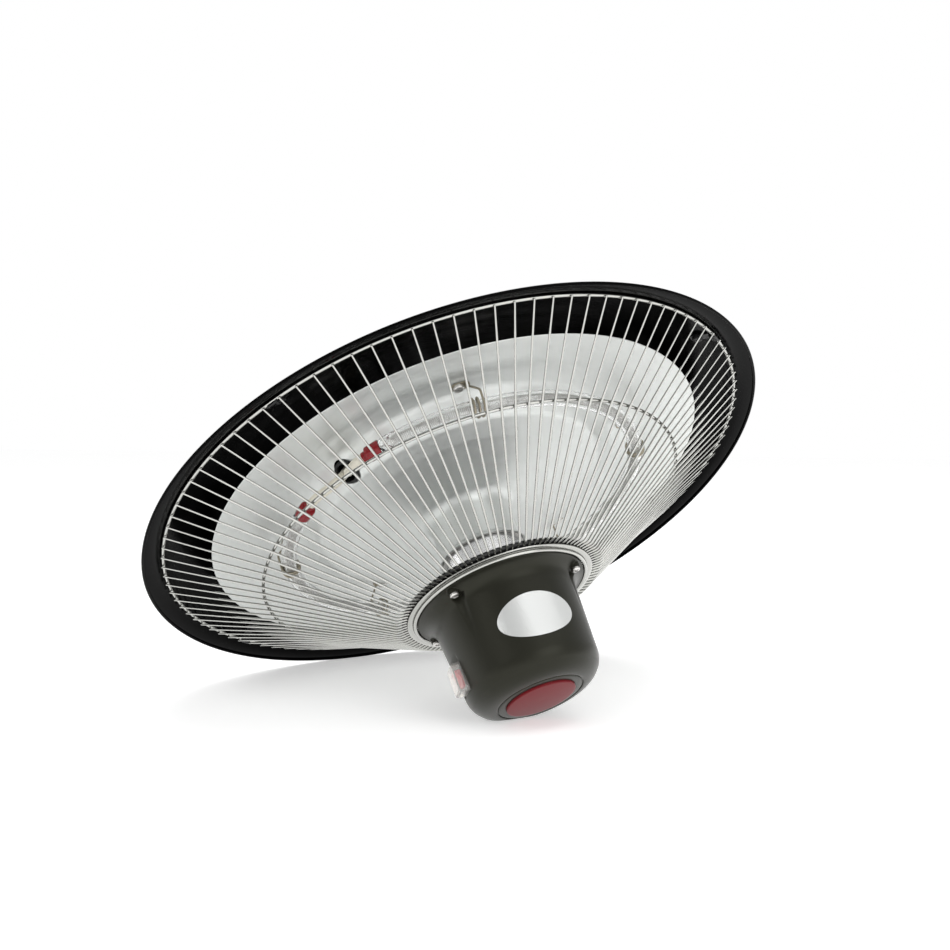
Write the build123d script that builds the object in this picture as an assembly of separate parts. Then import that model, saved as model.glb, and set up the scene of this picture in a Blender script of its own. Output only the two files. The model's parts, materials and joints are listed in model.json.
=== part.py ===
"""A round hanging infrared heater: shade, reflector, ring lamp, wire guard and control housing."""
from build123d import *
from math import asin, atan2, cos, degrees, hypot, pi, radians, sin, tan
import os

# Heights are measured from the plane of the shade's rim, up being positive, and radii from the
# heater's axis. Angles run round that axis from +X towards +Y, and the front plate faces -Y.
# The finished pieces are moved down by HANG_HEIGHT, so that the origin is in the hanging eye.

# Shade: a shallow spun dome with a flat crown, a narrow brim and a hemmed edge
RIM_RADIUS = 212.5
RIM_HEM = 1.25
HEM_HEIGHT = 0.3
BRIM_WIDTH = 8.0
BRIM_RISE = 2.8
SHADE_WALL = 1.0
CROWN_RADIUS = 64.0
CROWN_HEIGHT = 56.0
DOME_FULLNESS = 0.645
CROWN_HOLE = 45.0

# Reflector: a dish with an annular trough over the lamp and a neck round the column
REFLECTOR_WALL = 0.8
REFLECTOR_EDGE = (RIM_RADIUS - 43.9, 1.8)
TROUGH_OUTER = (129.0, 13.8)
TROUGH_INNER = (112.0, 12.8)
CREST = (98.5, -0.6)
NECK_TOP_HEIGHT = -7.0
NECK_CLEARANCE = 0.3
NECK_FLARE = 3.2
NECK_END = -41.0
SEAT_GAP = 0.02

# Column tube
TUBE_RADIUS = 26.0
TUBE_WALL = 1.2
TUBE_FLANGE = 37.0
TUBE_SCREW_RADIUS = 32.0
SNAP_RING_WIRE = 2.4
SNAP_GROOVE = 0.5

# Lamp: a quartz ring, open over the gap where its ends are capped
LAMP_RADIUS = 121.5
LAMP_HEIGHT = -7.0
LAMP_TUBE_RADIUS = 5.0
QUARTZ_WALL = 1.0
LAMP_GAP_ANGLE = -144.6
LAMP_GAP_HALF = 14.55
PINCH_LENGTH = 9.0
PINCH_THICKNESS = 3.0
PINCH_WIDTH = 8.0
FILAMENT_COIL_RADIUS = 2.7
FILAMENT_WIRE = 0.9
FILAMENT_CURLS = 60
BOOT_RADIUS = 5.1
BOOT_LENGTH = 9.5
BOOT_NOSE_RADIUS = 3.4
BOOT_NOSE_LENGTH = 3.0
LEAD_RADIUS = 2.8
LEAD_SPACING = 0.25

# Lamp clips
CLIP_OFFSETS = (44.2, 121.7, 182.1, 253.6, 310.6)
CLIP_FOOT_RADIUS = (TROUGH_INNER[0] + TROUGH_OUTER[0]) / 2 - 1.2
CLIP_WIRE = 1.4
CLIP_GAP = 0.12
CLIP_SEAT = 0.3
CLIP_TURNS = 2.25
CLIP_PITCH = 3.0
CLIP_REACH = 5.5
CLIP_FOOT_WIDTH = 7.0
CLIP_FOOT_LENGTH = 12.0
CLIP_FOOT_WALL = 0.8
CLIP_SCREW_RADIUS = 1.9

# Guard
WIRE_COUNT = 108
WIRE_PHASE = 1.2
WIRE_DIAMETER = 1.6
OUTER_RING_RADIUS = RIM_RADIUS - 13.9
OUTER_RING_WIRE = 2.4
RING_SEAT = 0.1
KNEE = (142.9, -27.6)
MIDDLE_RING_WIRE = 2.0
BEND = (69.6, -72.3)
INNER_RING_RADIUS = 58.6
INNER_RING_WIRE = 3.0
WIRE_INNER_END = 54.6
WIRE_OVERHANG = 1.4
GUARD_CLIP_COUNT = 4
GUARD_CLIP_WIDTH = 7.0
GUARD_CLIP_WALL = 1.0
GUARD_CLIP_SCREW = 1.9

# Control housing
FLANGE_RADIUS = 56.4
FLANGE_THICKNESS = 2.4
NECK_RADIUS = 47.8
BASE_RADIUS = 43.0
HOUSING_END = -144.6
HOUSING_WALL = 2.4
NECK_FILLET = 11.0
LENS_RADIUS = 22.6
LENS_THICKNESS = 2.4
LENS_CLEARANCE = 0.15
LENS_PROUD = 1.0
GROOVE_RADIUS = 28.4
GROOVE_DEPTH = 0.7
END_FILLET = 16.0
FILLET_SHARE = 1.1
HOUSING_FILLET = min(END_FILLET, FILLET_SHARE * (BASE_RADIUS - GROOVE_RADIUS))
SCREW_CIRCLE = 52.0
SCREW_ANGLES = (-142.7, -37.3, 37.3, 142.7)
POCKET_RADIUS = 6.8
POCKET_TOP = -80.5
POCKET_WALL = 1.6
HOUSING_SCREW = 1.9
CLAMP_RADIUS = 67.5
CLAMP_THICKNESS = 3.0

# Front plate
PLATE_WIDTH = 51.0
PLATE_HEIGHT = 28.0
PLATE_CENTRE = -109.5
PLATE_THICKNESS = 0.8

# Rocker switch on the housing's left side
SWITCH_FACE = 42.6
SWITCH_CENTRE = -120.5
SWITCH_BODY_LENGTH = 14.4
SWITCH_BODY_WIDTH = 9.8
SWITCH_BODY_DEPTH = 12.0
SWITCH_WALL = 0.9
SWITCH_FLANGE_LENGTH = 16.4
SWITCH_FLANGE_WIDTH = 11.8
SWITCH_FLANGE = 1.5
ROCKER_HALF = 5.4
ROCKER_WIDTH = 7.4
ROCKER_TILT = 10.0
ROCKER_PIN = 1.2
PIN_CLEARANCE = 0.05
PIN_LENGTH = 0.7
PIVOT_PROUD = 0.4
BOOT_CLEARANCE = 0.3
SWITCH_BOOT_WALL = 1.2
SWITCH_BOOT_HEIGHT = 7.0
PANEL_CLEARANCE = 0.1
TAB_SIZE = (4.8, 0.8, 6.0)
TAB_PLACES = (2.4, 3.6)

# Control board
BOARD_RADIUS = 30.0
BOARD_THICKNESS = 1.6
BOARD_HEIGHT = -133.0
BOARD_POST_CIRCLE = 26.0
BOARD_POST_RADIUS = 2.6
BOARD_SCREW = 1.2
BOARD_POST_ANGLES = (30.0, 150.0, 270.0)
RELAY_SIZE = (19.0, 15.4, 15.6)
CAPACITOR_RADIUS = 5.0
CAPACITOR_HEIGHT = 13.0
RECEIVER_SIZE = (6.0, 5.0, 7.0)

# Crown: mounting plate, cap, terminals, gland and eye
MOUNT_PLATE_RADIUS = 60.0
MOUNT_PLATE_WALL = 2.5
RIVET_CIRCLE = 53.0
RIVET_RADIUS = 2.0
RIVET_COUNT = 6
CAP_RADIUS = 61.0
CAP_HEIGHT = 25.0
CAP_WALL = 2.2
CAP_TOP_RADIUS = 46.0
CAP_SCREW_CIRCLE = 49.0
CAP_SCREW = 1.6
CAP_SCREW_ANGLES = (45.0, 135.0, 225.0, 315.0)
CAP_BOSS_RADIUS = 4.2
VENT_COUNT = 12
VENT_SIZE = (3.0, 9.0)
EYE_BOLT_RADIUS = 4.0
EYE_RADIUS = 8.5
EYE_WIRE = 5.0
EYE_COLLAR_HEIGHT = 4.0
EYE_COLLAR_RADIUS = 7.0
RING_RADIUS = 19.0
RING_WIRE = 5.0
RING_CLEARANCE = 0.05
RING_REST_TILT = 104.0
TERMINAL_SIZE = (26.0, 15.0, 12.0)
TERMINAL_CENTRE = (0.0, 24.0)
TERMINAL_POLES = (-8.0, 0.0, 8.0)
LEAD_ENTRIES = (-10.0, -3.6)
SLEEVE_ENTRY = 8.0
GLAND_THREAD = 6.0
GLAND_BORE = 3.8
GLAND_LENGTH = 14.0
GLAND_NUT_RADIUS = 8.0
GLAND_BOSS = (9.4, 54.0, 61.6)
SLEEVE_RADIUS = 2.6
SLEEVE_HOLE = 5.2

CAP_BASE = CROWN_HEIGHT + SHADE_WALL / 2
CAP_TOP = CAP_BASE + CAP_HEIGHT
GLAND_HEIGHT = CAP_BASE + 9.5
EYE_CENTRE = CAP_TOP + 16.5
HANG_HEIGHT = EYE_CENTRE


def polar(radius, angle, height=0.0):
    """A point at a radius, an angle in degrees and a height."""
    return Vector(radius * cos(radians(angle)), radius * sin(radians(angle)), height)


def turned(face):
    """A solid of revolution from a face drawn as (radius, height)."""
    return revolve(Plane.XZ * face, axis=Axis.Z)


def outline(*points):
    """A closed polygon face."""
    return make_face(Polyline(*points, close=True))


def ring(radius, height, wire):
    """A closed ring of round wire about the heater's axis."""
    return Pos(0, 0, height) * Torus(radius, wire / 2)


def upright(radius, height, angle, bottom, body_radius):
    """A vertical cylinder on a circle about the axis."""
    post = Cylinder(body_radius, height, align=(Align.CENTER, Align.CENTER, Align.MIN))
    return Pos(*polar(radius, angle, bottom)) * post


def spun(points, radii, wall):
    """A spun sheet: the middle line is rounded at its corners and thickened both ways."""
    middle = FilletPolyline(*points, radius=radii)
    return turned(make_face(Wire(middle.edges()).offset_2d(wall / 2)))


def tube_along(points, radii, radius):
    """A round tube on straight runs joined by tangent arcs."""
    path = FilletPolyline(*points, radius=radii)
    start = Plane(origin=path @ 0, z_dir=path % 0)
    return sweep(start * Circle(radius), path=path)


def hexagon_rod(points, diameter):
    """A six-sided rod bent along a line, mitred at its bends."""
    path = Polyline(*points)
    start = Plane(origin=path @ 0, z_dir=path % 0, x_dir=(0, 1, 0))
    section = start * RegularPolygon(diameter / 2, 6)
    return sweep(section, path=path, transition=Transition.RIGHT)


def group(parts):
    """Separate solids that share one node."""
    solids = [solid for part in parts for solid in part.solids()]
    return Compound(children=solids)


def save(name, part):
    """Write one piece, moved so that the origin is in the hanging eye."""
    export_step(Pos(0, 0, -HANG_HEIGHT) * part, f"parts/{name}.step")


def dome_circle(side):
    """Centre and radius of the arc of the dome's upper face (side 1) or its lower one (-1)."""
    start = (RIM_RADIUS - BRIM_WIDTH, BRIM_RISE)
    middle = ((start[0] + CROWN_RADIUS) / 2, CROWN_HEIGHT * DOME_FULLNESS)
    arc = ThreePointArc(start, middle, (CROWN_RADIUS, CROWN_HEIGHT)).edge()
    return arc.arc_center, arc.radius + side * SHADE_WALL / 2


def dome_height(radius, side):
    """Height of one of the dome's faces at a radius."""
    centre, size = dome_circle(side)
    return centre.Y + (size ** 2 - (radius - centre.X) ** 2) ** 0.5


def crown_edge(side):
    """Where one of the dome's faces meets the flat crown."""
    centre, size = dome_circle(side)
    level = CROWN_HEIGHT + side * SHADE_WALL / 2
    return centre.X + (size ** 2 - (level - centre.Y) ** 2) ** 0.5, level


def make_shade():
    """The dome's sheet runs out over a flatter brim, whose edge is hemmed downwards."""
    brim = RIM_RADIUS - BRIM_WIDTH
    hem = (RIM_RADIUS - RIM_HEM, HEM_HEIGHT)
    ends, lines = [], []
    for side in (1, -1):
        crown = crown_edge(side)
        halfway = (crown[0] + brim) / 2
        fold = (brim, dome_height(brim, side))
        ends.append(((CROWN_HOLE, crown[1]), (hem[0], hem[1] + RIM_HEM - (1 - side) * SHADE_WALL / 2)))
        lines += [Line(ends[-1][0], crown), Line(fold, ends[-1][1]),
                  ThreePointArc(crown, (halfway, dome_height(halfway, side)), fold)]
    lines += [Line(upper, lower) for upper, lower in zip(*ends)]
    shell = turned(make_face(lines) + Pos(*hem) * Circle(RIM_HEM))
    shell -= [upright(RIVET_CIRCLE, 9, angle, CROWN_HEIGHT - 4, RIVET_RADIUS)
              for angle in rivet_angles()]
    shell -= [upright(CAP_SCREW_CIRCLE, 9, angle, CROWN_HEIGHT - 4, CAP_SCREW + 0.1)
              for angle in CAP_SCREW_ANGLES]
    hole = guard_clip_plane() * Cylinder(GUARD_CLIP_SCREW + 0.1, 6)
    return shell - [Rot(0, 0, angle) * hole for angle in guard_clip_angles()]


def rivet_angles():
    """Angles of the rivets that join the shade's crown to the mounting plate."""
    return [360 * index / RIVET_COUNT for index in range(RIVET_COUNT)]


NECK_LINE = TUBE_RADIUS + NECK_CLEARANCE + REFLECTOR_WALL / 2
FLANK_ANGLE = degrees(atan2(TROUGH_INNER[1] - CREST[1], TROUGH_INNER[0] - CREST[0]))
LEAD_HOLE_SHARE = 0.42
LEAD_HOLE = (CREST[0] + LEAD_HOLE_SHARE * (TROUGH_INNER[0] - CREST[0]),
             CREST[1] + LEAD_HOLE_SHARE * (TROUGH_INNER[1] - CREST[1]))
LEAD_HOLE_ANGLE = LAMP_GAP_ANGLE - 0.8
BUSH_RADIUS = 6.9
BUSH_WALL = 0.7
BUSH_FLANGE = 7.9
BUSH_FLANGE_WALL = 0.8
BUSH_LENGTH = 5.0


def lead_hole_plane():
    """The plane of the lead hole in the trough's inner flank, facing the lamp."""
    outward = Vector(*polar(1, LEAD_HOLE_ANGLE))
    normal = outward * sin(radians(FLANK_ANGLE)) - Vector(0, 0, cos(radians(FLANK_ANGLE)))
    origin = polar(LEAD_HOLE[0], LEAD_HOLE_ANGLE, LEAD_HOLE[1])
    return Plane(origin=origin, z_dir=normal)


def clip_angles():
    """Angles of the lamp clips' screws, counted from the gap between the lamp's ends."""
    return [LAMP_GAP_ANGLE + offset for offset in CLIP_OFFSETS]


def make_reflector():
    """A spun dish: edge, trough over the lamp, crest, inner cone and flared neck."""
    neck = NECK_LINE
    points = [REFLECTOR_EDGE, TROUGH_OUTER, TROUGH_INNER, CREST, (neck, NECK_TOP_HEIGHT),
              (neck, NECK_END + NECK_FLARE), (neck + NECK_FLARE, NECK_END)]
    dish = spun(points, [26, 9, 8, 9, 1.5], REFLECTOR_WALL)
    dish -= lead_hole_plane() * Cylinder(BUSH_RADIUS + 0.1, 12)
    for angle in clip_angles():
        dish -= upright(CLIP_FOOT_RADIUS, 12, angle, trough_height() - 6, CLIP_SCREW_RADIUS + 0.1)
    return dish


def trough_height():
    """Height of the trough sheet's middle line over the clips' feet."""
    run = TROUGH_OUTER[0] - TROUGH_INNER[0]
    share = (CLIP_FOOT_RADIUS - TROUGH_INNER[0]) / run
    return TROUGH_INNER[1] + share * (TROUGH_OUTER[1] - TROUGH_INNER[1])


def make_lead_bush():
    """A flanged eyelet in the lead hole."""
    sleeve = Cylinder(BUSH_RADIUS, BUSH_LENGTH)
    flange = Pos(0, 0, REFLECTOR_WALL / 2 + 0.3 + BUSH_FLANGE_WALL / 2) \
        * Cylinder(BUSH_FLANGE, BUSH_FLANGE_WALL)
    bore = Cylinder(BUSH_RADIUS - BUSH_WALL, 3 * BUSH_LENGTH)
    return lead_hole_plane() * (sleeve + flange - bore)


TUBE_TOP = CROWN_HEIGHT - SHADE_WALL / 2 - MOUNT_PLATE_WALL
CLAMP_BOTTOM = BEND[1] + WIRE_DIAMETER / 2
CLAMP_TOP = CLAMP_BOTTOM + CLAMP_THICKNESS


def make_support_tube():
    """The column tube, from the clamping disc to a flange under the mounting plate."""
    middle = TUBE_RADIUS - TUBE_WALL / 2
    points = [(middle, CLAMP_TOP + TUBE_WALL / 2), (middle, TUBE_TOP - TUBE_WALL / 2),
              (TUBE_FLANGE, TUBE_TOP - TUBE_WALL / 2)]
    tube = spun(points, [2.5], TUBE_WALL)
    tube -= ring(*snap_ring_centre(), SNAP_RING_WIRE + 2 * SEAT_GAP)
    for angle in CAP_SCREW_ANGLES:
        tube -= upright(TUBE_SCREW_RADIUS, 8, angle, TUBE_TOP - 4, RIVET_RADIUS + 0.1)
    return tube


def snap_ring_centre():
    """The snap ring sits in the tube's groove and touches the neck's flare, which is at 45 degrees."""
    centre = TUBE_RADIUS - SNAP_GROOVE + SNAP_RING_WIRE / 2
    flare = NECK_LINE + NECK_END + NECK_FLARE - REFLECTOR_WALL / 2 ** 0.5
    return centre, flare - centre - SNAP_RING_WIRE / 2 ** 0.5 - SEAT_GAP


def make_snap_ring():
    """A wire ring in the tube's groove, under the reflector's flared neck."""
    return ring(*snap_ring_centre(), SNAP_RING_WIRE)


def lamp_frame(angle):
    """A plane across the lamp's tube, its x axis pointing away from the heater's axis."""
    along = Vector(*polar(1, angle + 90))
    return Plane(origin=polar(LAMP_RADIUS, angle, LAMP_HEIGHT), z_dir=along,
                 x_dir=tuple(polar(1, angle)))


LAMP_START = LAMP_GAP_ANGLE + LAMP_GAP_HALF
LAMP_SWEEP = 360 - 2 * LAMP_GAP_HALF
PINCH_ANGLE = degrees(PINCH_LENGTH / LAMP_RADIUS)


def lamp_arc(start, sweep_angle, section):
    """A section drawn about the tube's middle, turned round the heater's axis."""
    face = Plane.XZ * (Pos(LAMP_RADIUS, LAMP_HEIGHT) * section)
    return Rot(0, 0, start) * revolve(face, axis=Axis.Z, revolution_arc=sweep_angle)


def make_lamp_tube():
    """The open quartz ring with a flat pinched seal on each end."""
    bore = LAMP_TUBE_RADIUS - QUARTZ_WALL
    start, length = LAMP_START + PINCH_ANGLE, LAMP_SWEEP - 2 * PINCH_ANGLE
    tube = lamp_arc(start, length, Circle(LAMP_TUBE_RADIUS) - Circle(bore))
    pinch = RectangleRounded(PINCH_THICKNESS, PINCH_WIDTH, 1.0)
    first = lamp_arc(LAMP_START, PINCH_ANGLE, pinch)
    last = lamp_arc(start + length, PINCH_ANGLE, pinch)
    plug = PINCH_ANGLE / 4
    stop = Circle(LAMP_TUBE_RADIUS - QUARTZ_WALL / 2)
    plugs = [lamp_arc(start - plug / 2, plug, stop), lamp_arc(start + length - plug / 2, plug, stop)]
    return tube + first + last + plugs


def coil_point(phase, angle):
    """A point of the filament and its direction, at a coil phase and an angle round the ring."""
    rate = radians(LAMP_SWEEP - 3 * PINCH_ANGLE) / (2 * pi * FILAMENT_CURLS)
    out, up, along = polar(1, angle), Vector(0, 0, 1), polar(1, angle + 90)
    reach = LAMP_RADIUS + FILAMENT_COIL_RADIUS * cos(phase)
    point = out * reach + up * (LAMP_HEIGHT + FILAMENT_COIL_RADIUS * sin(phase))
    turn = up * (FILAMENT_COIL_RADIUS * cos(phase)) - out * (FILAMENT_COIL_RADIUS * sin(phase))
    return point, (turn + along * (reach * rate)).normalized()


def biarc(start, start_way, end, end_way):
    """Two tangent arcs from one point and direction to another."""
    chord = end - start
    both = start_way + end_way
    spread = 2 * (1 - start_way.dot(end_way))
    mix = chord.dot(both)
    reach = (-mix + (mix * mix + spread * chord.dot(chord)) ** 0.5) / spread
    near = start + start_way * reach
    far = end - end_way * reach
    middle = (near + far) * 0.5
    way = (far - near).normalized()
    return [Edge.make_tangent_arc(start, start_way, middle), Edge.make_tangent_arc(middle, way, end)]


def make_filament():
    """One unbroken coil on half-turn biarcs, round the lamp's ring."""
    first = LAMP_START + 1.5 * PINCH_ANGLE
    span = LAMP_SWEEP - 3 * PINCH_ANGLE
    steps = 2 * FILAMENT_CURLS
    stations = [coil_point(pi * step, first + span * step / steps) for step in range(steps + 1)]
    arcs = [arc for near, far in zip(stations, stations[1:]) for arc in biarc(*near, *far)]
    path = Wire(arcs)
    start = Plane(origin=stations[0][0], z_dir=stations[0][1])
    coil = sweep(start * RegularPolygon(FILAMENT_WIRE / 2, 4), path=path, clean=False)
    pitch = radians(span) * (LAMP_RADIUS - FILAMENT_COIL_RADIUS) / FILAMENT_CURLS
    print("filament curls", FILAMENT_CURLS, "least gap", round(pitch - FILAMENT_WIRE, 2))
    return coil


def boot_ends():
    """Angle of each lamp end and the side on which its lead leaves."""
    return [(LAMP_START, -1), (LAMP_START + LAMP_SWEEP, 1)]


def make_lamp_boots():
    """Two rubber boots with stepped noses, over the pinched ends."""
    boots = []
    for angle, side in boot_ends():
        body_angle = degrees(BOOT_LENGTH / LAMP_RADIUS)
        nose_angle = degrees(BOOT_NOSE_LENGTH / LAMP_RADIUS)
        overlap = PINCH_ANGLE * 0.75
        back = angle - side * overlap
        low = back if side > 0 else back - body_angle
        body = lamp_arc(low, body_angle, Circle(BOOT_RADIUS))
        nose_low = back + body_angle if side > 0 else back - body_angle - nose_angle
        nose = lamp_arc(nose_low, nose_angle, Circle(BOOT_NOSE_RADIUS))
        slot_low = back if side > 0 else angle
        slot = lamp_arc(slot_low, overlap, RectangleRounded(PINCH_THICKNESS + 0.1,
                                                            PINCH_WIDTH + 0.1, 1.0))
        boots.append(body + nose - slot)
    return group(boots)


def make_lamp_leads():
    """Each sleeved lead bends off the boot's nose, through the eyelet, up to the terminals."""
    leads = []
    hole = lead_hole_plane()
    for index, (angle, side) in enumerate(boot_ends()):
        out_angle = angle + side * (degrees((BOOT_LENGTH + BOOT_NOSE_LENGTH) / LAMP_RADIUS)
                                    - PINCH_ANGLE * 0.75)
        start = polar(LAMP_RADIUS, out_angle, LAMP_HEIGHT)
        way = polar(1, out_angle + 90) * side
        across = polar(1, LEAD_HOLE_ANGLE + 90) * (-side * (LEAD_RADIUS + LEAD_SPACING))
        below = hole.origin + hole.z_dir * 9 + across
        above = hole.origin - hole.z_dir * 11 + across
        lift = polar(84 - 5 * index, LAMP_GAP_ANGLE - side * 3, CROWN_HEIGHT * 0.43)
        rise = polar(58 - 3 * index, -160 - side * 6, CROWN_HEIGHT * 0.6)
        spread = degrees((LEAD_RADIUS + LEAD_SPACING) / LEAD_PLATE_CIRCLE)
        plate = polar(LEAD_PLATE_CIRCLE, LEAD_PLATE_ANGLE - side * spread, TUBE_TOP - 12)
        over = plate + Vector(0, 0, 21)
        goal = terminal_entry(LEAD_ENTRIES[index])
        before = goal - Vector(0, 9, 0)
        points = [start, start + way * 6, below, above, lift, rise, plate, over, before, goal]
        leads.append(tube_along(points, lead_radii(points), LEAD_RADIUS))
    return group(leads)


LEAD_PLATE_ANGLE = -165.0
LEAD_PLATE_CIRCLE = 41.0
LEAD_PLATE_HOLE = 7.4


def lead_radii(points):
    """Each arc is as large as its two runs allow: 0.45 of the shorter, over the half turn."""
    radii = []
    for before, here, after in zip(points, points[1:], points[2:]):
        first, second = here - before, after - here
        turn = radians(first.get_angle(second))
        radii.append(0.45 * min(first.length, second.length) / tan(turn / 2))
    print("lead radii", [round(radius, 1) for radius in radii])
    return radii


def terminal_entry(shift):
    """Where a wire goes into the terminal block, on its side towards -Y."""
    depth = TERMINAL_SIZE[1] / 2 + SEAT_GAP
    height = CROWN_HEIGHT + (SHADE_WALL + TERMINAL_SIZE[2]) / 2
    return Vector(TERMINAL_CENTRE[0] + shift, TERMINAL_CENTRE[1] - depth, height)


def clip_seat():
    """Height of the clips' feet: their upper face, just under the trough's sheet."""
    return trough_height() - REFLECTOR_WALL / 2 - CLIP_SEAT


def make_lamp_clip(angle):
    """A spring wire wound round the lamp, its arm rising to a foot strap under the trough."""
    radius = LAMP_TUBE_RADIUS + CLIP_GAP + CLIP_WIRE / 2
    length = CLIP_TURNS * CLIP_PITCH
    coil = Helix(CLIP_PITCH, length, radius, lefthand=True)
    coil = Pos(0, length / 2, 0) * (Rot(90, 0, 0) * coil)
    foot_level = clip_seat() - CLIP_FOOT_WALL - LAMP_HEIGHT
    lean = CLIP_FOOT_RADIUS - LAMP_RADIUS
    elbow = (coil @ 0) - (coil % 0) * (foot_level * 0.45)
    arm = FilletPolyline(Vector(lean, -0.3, foot_level), elbow, coil @ 0, radius=4)
    path = Wire(arm.edges() + coil.edges())
    section = Plane(origin=path @ 0, z_dir=path % 0) * Circle(CLIP_WIRE / 2)
    wire = Pos(LAMP_RADIUS, 0, LAMP_HEIGHT) * sweep(section, path=path)
    turn = degrees(CLIP_REACH / LAMP_RADIUS)
    strap = extrude(SlotOverall(CLIP_FOOT_LENGTH, CLIP_FOOT_WIDTH, rotation=90), CLIP_FOOT_WALL)
    level = clip_seat() - CLIP_FOOT_WALL
    strap = Pos(CLIP_FOOT_RADIUS, CLIP_FOOT_LENGTH / 8, level) * strap
    strap -= upright(CLIP_FOOT_RADIUS, 9, 0, level - 4, CLIP_SCREW_RADIUS + 0.1)
    return Rot(0, 0, angle) * (strap + Rot(0, 0, turn) * wire)


def pan_screw(radius, length, head_radius, head_height):
    """A pan-head screw standing on its head's seat, shank upwards."""
    head = Cylinder(head_radius, head_height, align=(Align.CENTER, Align.CENTER, Align.MAX))
    head = fillet(head.edges().group_by(Axis.Z)[0], head_height * 0.45)
    shank = Cylinder(radius, length, align=(Align.CENTER, Align.CENTER, Align.MIN))
    slot = Pos(0, 0, -head_height) * Box(2 * head_radius, head_height * 0.3, head_height * 0.8)
    return head + shank - slot


def make_guard_wire():
    """One radial wire in the XZ plane: past the outer ring, over two bends, to the clamp."""
    rise = (outer_wire_height() - KNEE[1]) / (OUTER_RING_RADIUS - KNEE[0])
    tip = (OUTER_RING_RADIUS + WIRE_OVERHANG, 0, outer_wire_height() + rise * WIRE_OVERHANG)
    return hexagon_rod([tip, (KNEE[0], 0, KNEE[1]), (BEND[0], 0, BEND[1]),
                        (WIRE_INNER_END, 0, BEND[1])], WIRE_DIAMETER)


def outer_wire_height():
    """Height of a radial wire under the outer ring, which lies on it."""
    return outer_ring_height() - (OUTER_RING_WIRE + WIRE_DIAMETER) / 2 * 1.13


def outer_ring_height():
    """Height of the guard's outer ring, which rests against the shade's inner face."""
    radius = OUTER_RING_RADIUS
    slope = (dome_height(radius - 1, -1) - dome_height(radius + 1, -1)) / 2
    return dome_height(radius, -1) - (OUTER_RING_WIRE / 2 + RING_SEAT) * hypot(1, slope)


def make_guard_wires():
    """All radial wires, as one pattern about the axis."""
    wire = make_guard_wire()
    step = 360 / WIRE_COUNT
    return group([Rot(0, 0, WIRE_PHASE + step * index) * wire for index in range(WIRE_COUNT)])


def ring_band(radius, height, wire):
    """A guard ring of six-sided wire, so that it stays light in faces."""
    return turned(Pos(radius, height) * RegularPolygon(wire / 2, 6))


def make_middle_ring():
    """The middle ring lies on the wires' upper side, at their knee."""
    slope = atan2(KNEE[1] - BEND[1], KNEE[0] - BEND[0])
    lift = (MIDDLE_RING_WIRE + WIRE_DIAMETER) / 2 / cos(slope) + 0.02
    return ring_band(KNEE[0], KNEE[1] + lift, MIDDLE_RING_WIRE)


def make_inner_ring():
    """The inner ring lies under the wires, just outside the housing's flange."""
    height = BEND[1] - (WIRE_DIAMETER + INNER_RING_WIRE) / 2 - 0.02
    return ring_band(INNER_RING_RADIUS, height, INNER_RING_WIRE)


def guard_clip_angles():
    """Guard clips stand midway between two radial wires."""
    step = 360 / WIRE_COUNT
    quarter = WIRE_COUNT / GUARD_CLIP_COUNT
    return [WIRE_PHASE + step * (quarter * index + 13.5) for index in range(GUARD_CLIP_COUNT)]


GUARD_SCREW_RADIUS = OUTER_RING_RADIUS - 9.0


def guard_clip_plane():
    """On the shade's inner face: x runs out along the face, z stands off it, inwards."""
    near, far = dome_height(GUARD_SCREW_RADIUS - 1, -1), dome_height(GUARD_SCREW_RADIUS + 1, -1)
    along = Vector(2, 0, far - near).normalized()
    origin = (GUARD_SCREW_RADIUS, 0, dome_height(GUARD_SCREW_RADIUS, -1))
    return Plane(origin=origin, x_dir=along, z_dir=Vector(along.Z, 0, -along.X))


def make_guard_clip(angle):
    """A foot on the shade's inner face and a lip under the guard's outer ring."""
    seat = guard_clip_plane()
    ring_at = seat.to_local_coords(Vector(OUTER_RING_RADIUS, 0, outer_ring_height()))
    foot = GUARD_CLIP_WALL / 2 + RING_SEAT
    lip = ring_at.Z + (OUTER_RING_WIRE + GUARD_CLIP_WALL) / 2 + SEAT_GAP
    step = ring_at.X - OUTER_RING_WIRE / 2 - GUARD_CLIP_WALL / 2 - 0.3
    points = [(-4.5, foot), (step, foot), (step, lip), (ring_at.X + 1.6, lip)]
    strip = make_face(Wire(FilletPolyline(*points, radius=0.8).edges()).offset_2d(GUARD_CLIP_WALL / 2))
    clip = extrude(Plane.XZ * strip, amount=GUARD_CLIP_WIDTH / 2, both=True)
    clip -= Cylinder(GUARD_CLIP_SCREW + 0.1, 12)
    return Rot(0, 0, angle) * (seat * clip)


def housing_outer():
    """The outer line of the control housing as (radius, height), open at the top."""
    top = BEND[1] - WIRE_DIAMETER / 2
    return [(FLANGE_RADIUS, top - FLANGE_THICKNESS), (NECK_RADIUS, top - FLANGE_THICKNESS - 2.2),
            (BASE_RADIUS, HOUSING_END + 2.0), (GROOVE_RADIUS + 1.2, HOUSING_END)]


def housing_body(inset):
    """A solid of the housing's outline, drawn in by an inset."""
    top = BEND[1] - WIRE_DIAMETER / 2
    side = housing_outer()
    line = FilletPolyline(*side, radius=[NECK_FILLET, HOUSING_FILLET])
    close = Polyline(side[-1], (0, HOUSING_END), (0, top), (FLANGE_RADIUS, top), side[0])
    solid = turned(make_face(line.edges() + close.edges()))
    if inset == 0:
        return solid
    inner = [(NECK_RADIUS - inset - 0.4, top + 1), (BASE_RADIUS - inset, HOUSING_END + 2.0),
             (LENS_RADIUS, HOUSING_END + inset)]
    line = FilletPolyline(*inner, radius=HOUSING_FILLET - inset)
    close = Polyline(inner[-1], (0, HOUSING_END + inset), (0, top + 1), inner[0])
    return turned(make_face(line.edges() + close.edges()))


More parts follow.
